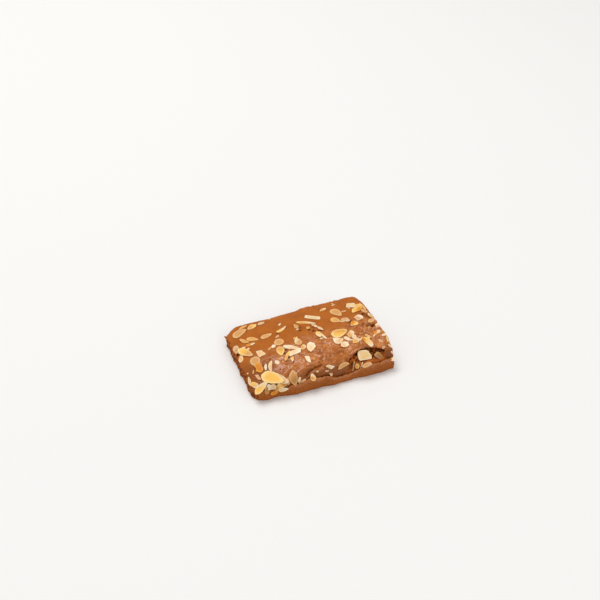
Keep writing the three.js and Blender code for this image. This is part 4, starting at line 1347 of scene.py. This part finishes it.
class Finish:
    """A short way to build a material: each call adds a node, and sockets are joined by name."""

    def __init__(self, name):
        self.material = bpy.data.materials.new(name)
        self.material.use_nodes = True
        self.tree = self.material.node_tree
        self.shader = self.tree.nodes["Principled BSDF"]
        self.place = self.add("ShaderNodeTexCoord").outputs["Object"]

    def add(self, kind, inputs=(), **settings):
        """A new node of that kind, with its settings and what goes into it."""
        node = self.tree.nodes.new(kind)
        for key, value in settings.items():
            setattr(node, key, value)
        self.feed(node, dict(inputs))
        return node

    def feed(self, node, inputs):
        """Each input, by its name or its number, gets a plain value or a link from another node."""
        for label, value in inputs.items():
            if isinstance(value, bpy.types.NodeSocket):
                self.tree.links.new(value, node.inputs[label])
            else:
                node.inputs[label].default_value = value

    def kept(self, label, output="Fac"):
        """What the mesh keeps on its points under that label."""
        return self.add("ShaderNodeAttribute", attribute_name=label).outputs[output]

    def noise(self, size_mm, detail=2.0, roughness=0.5, stretch=(1, 1, 1), place=None):
        stretched = self.add("ShaderNodeMapping", {"Vector": place or self.place, "Scale": stretch})
        return self.add("ShaderNodeTexNoise", {
            "Vector": stretched.outputs["Vector"],
            "Scale": 1 / (size_mm * MM),
            "Detail": detail,
            "Roughness": roughness,
        }).outputs["Fac"]

    def cells(self, size_mm):
        inputs = {"Vector": self.place, "Scale": 1 / (size_mm * MM)}
        return self.add("ShaderNodeTexVoronoi", inputs).outputs["Distance"]

    def spread(self, value, low, high, to_low=0.0, to_high=1.0):
        """The value moved from one range to another, and held at its ends."""
        inputs = {"Value": value, "From Min": low, "From Max": high, "To Min": to_low, "To Max": to_high}
        return self.add("ShaderNodeMapRange", inputs).outputs["Result"]

    def times(self, a, b):
        return self.add("ShaderNodeMath", {0: a, 1: b}, operation="MULTIPLY").outputs[0]

    def blend(self, a, b, share):
        inputs = {"Factor": share, "A": a, "B": b}
        return self.add("ShaderNodeMix", inputs, data_type="RGBA").outputs["Result"]

    def tint(self, base, colour, mask, strength):
        """The base with a colour laid over it where the mask is bright."""
        return self.blend(base, colour, self.times(mask, strength))

    def bump(self, height, distance_mm, strength, below=None):
        inputs = {"Distance": distance_mm * MM, "Strength": strength, "Height": height}
        if below is not None:
            inputs["Normal"] = below
        return self.add("ShaderNodeBump", inputs).outputs["Normal"]


print("ways to make a node:", [name for name in vars(Finish) if not name.startswith("_")])

# %% [markdown]
# ## Crust and crumb
#
# The crust is caramel brown: dull and a little orange at the back, darker and glossy in front,
# with a painted pinkish highlight on the tops of the wrinkles and painted shade between them. Crumb
# is orange where it catches light, and painted shade makes it nearly black in its bubbles. One
# finish covers both and reads the numbers kept on the points, so the change from skin to crumb
# follows the tear exactly.

# %% Colours of the slab
DULL_BROWN, DULL_SHADE, DULL_GOLD = paint(178, 98, 27), paint(162, 85, 22), paint(192, 116, 54)
WET_BROWN, WET_SHADE, WET_SPOT = paint(194, 112, 38), paint(174, 96, 30), paint(150, 80, 30)
# The valley colour is painted shade, the pink is a painted highlight, and the two darkest colours are painted
# shade
VALLEY_SHADE, WRINKLE_HIGHLIGHT, SPECK = paint(138, 71, 26), paint(224, 158, 98), paint(104, 52, 22)
DEEP_BROWN, IN_THE_DARK = paint(108, 50, 12), paint(34, 12, 5)
CRUMB_SHADE, CRUMB_LIGHT, BUBBLE_SHADE = paint(146, 72, 24), paint(202, 113, 44), paint(70, 30, 10)

cake = Finish("baked_crust")
is_crumb, is_shiny, is_hollow = cake.kept("crumb"), cake.kept("shine"), cake.kept("hollow")
is_wrinkle_lit, is_browner = cake.kept("wrinkle_light"), cake.kept("browner")
not_browner = cake.spread(is_browner, 0, 1, 1, 0.35)
patches = cake.spread(cake.noise(14, 3), 0.35, 0.65)
mottle = cake.spread(cake.noise(2.2, 3, 0.6), 0.35, 0.68)
specks = cake.spread(cake.noise(0.55, 2, 0.6), 0.56, 0.72)

dull_crust = cake.blend(DULL_BROWN, DULL_SHADE, patches)
dull_crust = cake.tint(dull_crust, DULL_GOLD, mottle, 0.35)
wet_crust = cake.blend(WET_BROWN, WET_SHADE, patches)
# Painted shade in the low places between the wrinkles
wet_crust = cake.blend(wet_crust, VALLEY_SHADE, cake.spread(is_wrinkle_lit, 0.42, 0.05, 0, 0.7))
wet_crust = cake.tint(wet_crust, WET_SPOT, mottle, 0.35)
# A painted pinkish highlight on the tops of the wrinkles, weaker where the crust is painted browner
on_wrinkles = cake.spread(is_wrinkle_lit, 0.3, 0.85)
painted_highlight = cake.times(on_wrinkles, cake.spread(cake.noise(4.5, 4, 0.62), 0.44, 0.6))
wet_crust = cake.tint(wet_crust, WRINKLE_HIGHLIGHT, cake.times(painted_highlight, not_browner), 0.5)
crust_colour = cake.blend(dull_crust, wet_crust, is_shiny)
crust_colour = cake.tint(crust_colour, SPECK, specks, 0.3)
crust_colour = cake.tint(crust_colour, DEEP_BROWN, is_browner, 0.75)

crumb_colour = cake.blend(CRUMB_SHADE, CRUMB_LIGHT, cake.spread(cake.noise(1.7, 4, 0.65), 0.34, 0.68))
# Painted shade in the small bubbles of the crumb
bubble_shade = cake.times(cake.spread(cake.cells(1.5), 0.36, 0.2), cake.spread(cake.noise(3, 2), 0.4, 0.55))
crumb_colour = cake.tint(crumb_colour, BUBBLE_SHADE, bubble_shade, 0.75)
colour = cake.blend(crust_colour, crumb_colour, is_crumb)
# Painted shade: the colour goes to near black where the points are marked for it, in holes, pores, creases,
# the tear, the groove above the ledge and round the flakes
colour = cake.blend(colour, IN_THE_DARK, cake.spread(is_hollow, 0.25, 0.95))
print("nodes for the colour of the slab:", len(cake.tree.nodes))

# %% Gloss and bumps of the slab
glaze = cake.times(is_shiny, cake.spread(cake.noise(4, 2), 0.37, 0.57, 0.2, 1.0))
skin_bump = cake.bump(cake.noise(1.4, 3, 0.55), 0.3, 0.45)
cake.feed(cake.shader, {
    "Base Color": colour,
    "Roughness": cake.spread(mottle, 0, 1, 0.62, 0.8),
    "Specular IOR Level": 0.12,
    "Coat Weight": cake.times(glaze, not_browner),
    "Coat Roughness": 0.2,
    "Normal": cake.bump(cake.cells(0.8), 0.25, 0.35, skin_bump),
    "Coat Normal": skin_bump,
})
slab.data.materials.append(cake.material)
scraps.data.materials.append(cake.material)
print("nodes in the crust finish:", len(cake.tree.nodes))

# %% [markdown]
# ## Finish of the almonds
#
# A cut almond is smooth and slightly oily, with faint lines along its length and a soft glow
# where light gets into the thin edge. The tone kept on each point carries the toasting and a
# painted highlight along the rim, and the finish only adds lines, small freckles and the glow.

# %% Almond material
TOASTED_CLOUD, PALE_LINE, FRECKLE = paint(204, 140, 72), paint(250, 222, 164), paint(172, 108, 50)

nut = Finish("cut_almond")
own_place = nut.kept("own_place", "Vector")
lines = nut.spread(nut.noise(0.7, 2, 0.6, (0.14, 1, 1), own_place), 0.36, 0.68)
clouds = nut.spread(nut.noise(3, 3, 0.55, (0.6, 1, 1), own_place), 0.35, 0.68)
freckles = nut.spread(nut.noise(0.45, 2, 0.6), 0.6, 0.74)
base = nut.tint(nut.kept("tone", "Color"), TOASTED_CLOUD, clouds, 0.14)
base = nut.tint(base, PALE_LINE, lines, 0.05)
base = nut.tint(base, FRECKLE, freckles, 0.16)
nut.feed(nut.shader, {
    "Base Color": base,
    "Roughness": nut.spread(lines, 0, 1, 0.56, 0.42),
    "Specular IOR Level": 0.22,
    "Subsurface Weight": 0.12,
    "Subsurface Radius": (0.0012, 0.0008, 0.0004),
    "Subsurface Scale": 1.0,
    "Normal": nut.bump(lines, 0.04, 0.3),
})
almonds.data.materials.append(nut.material)
print("nodes in the almond finish:", len(nut.tree.nodes))

# %% [markdown]
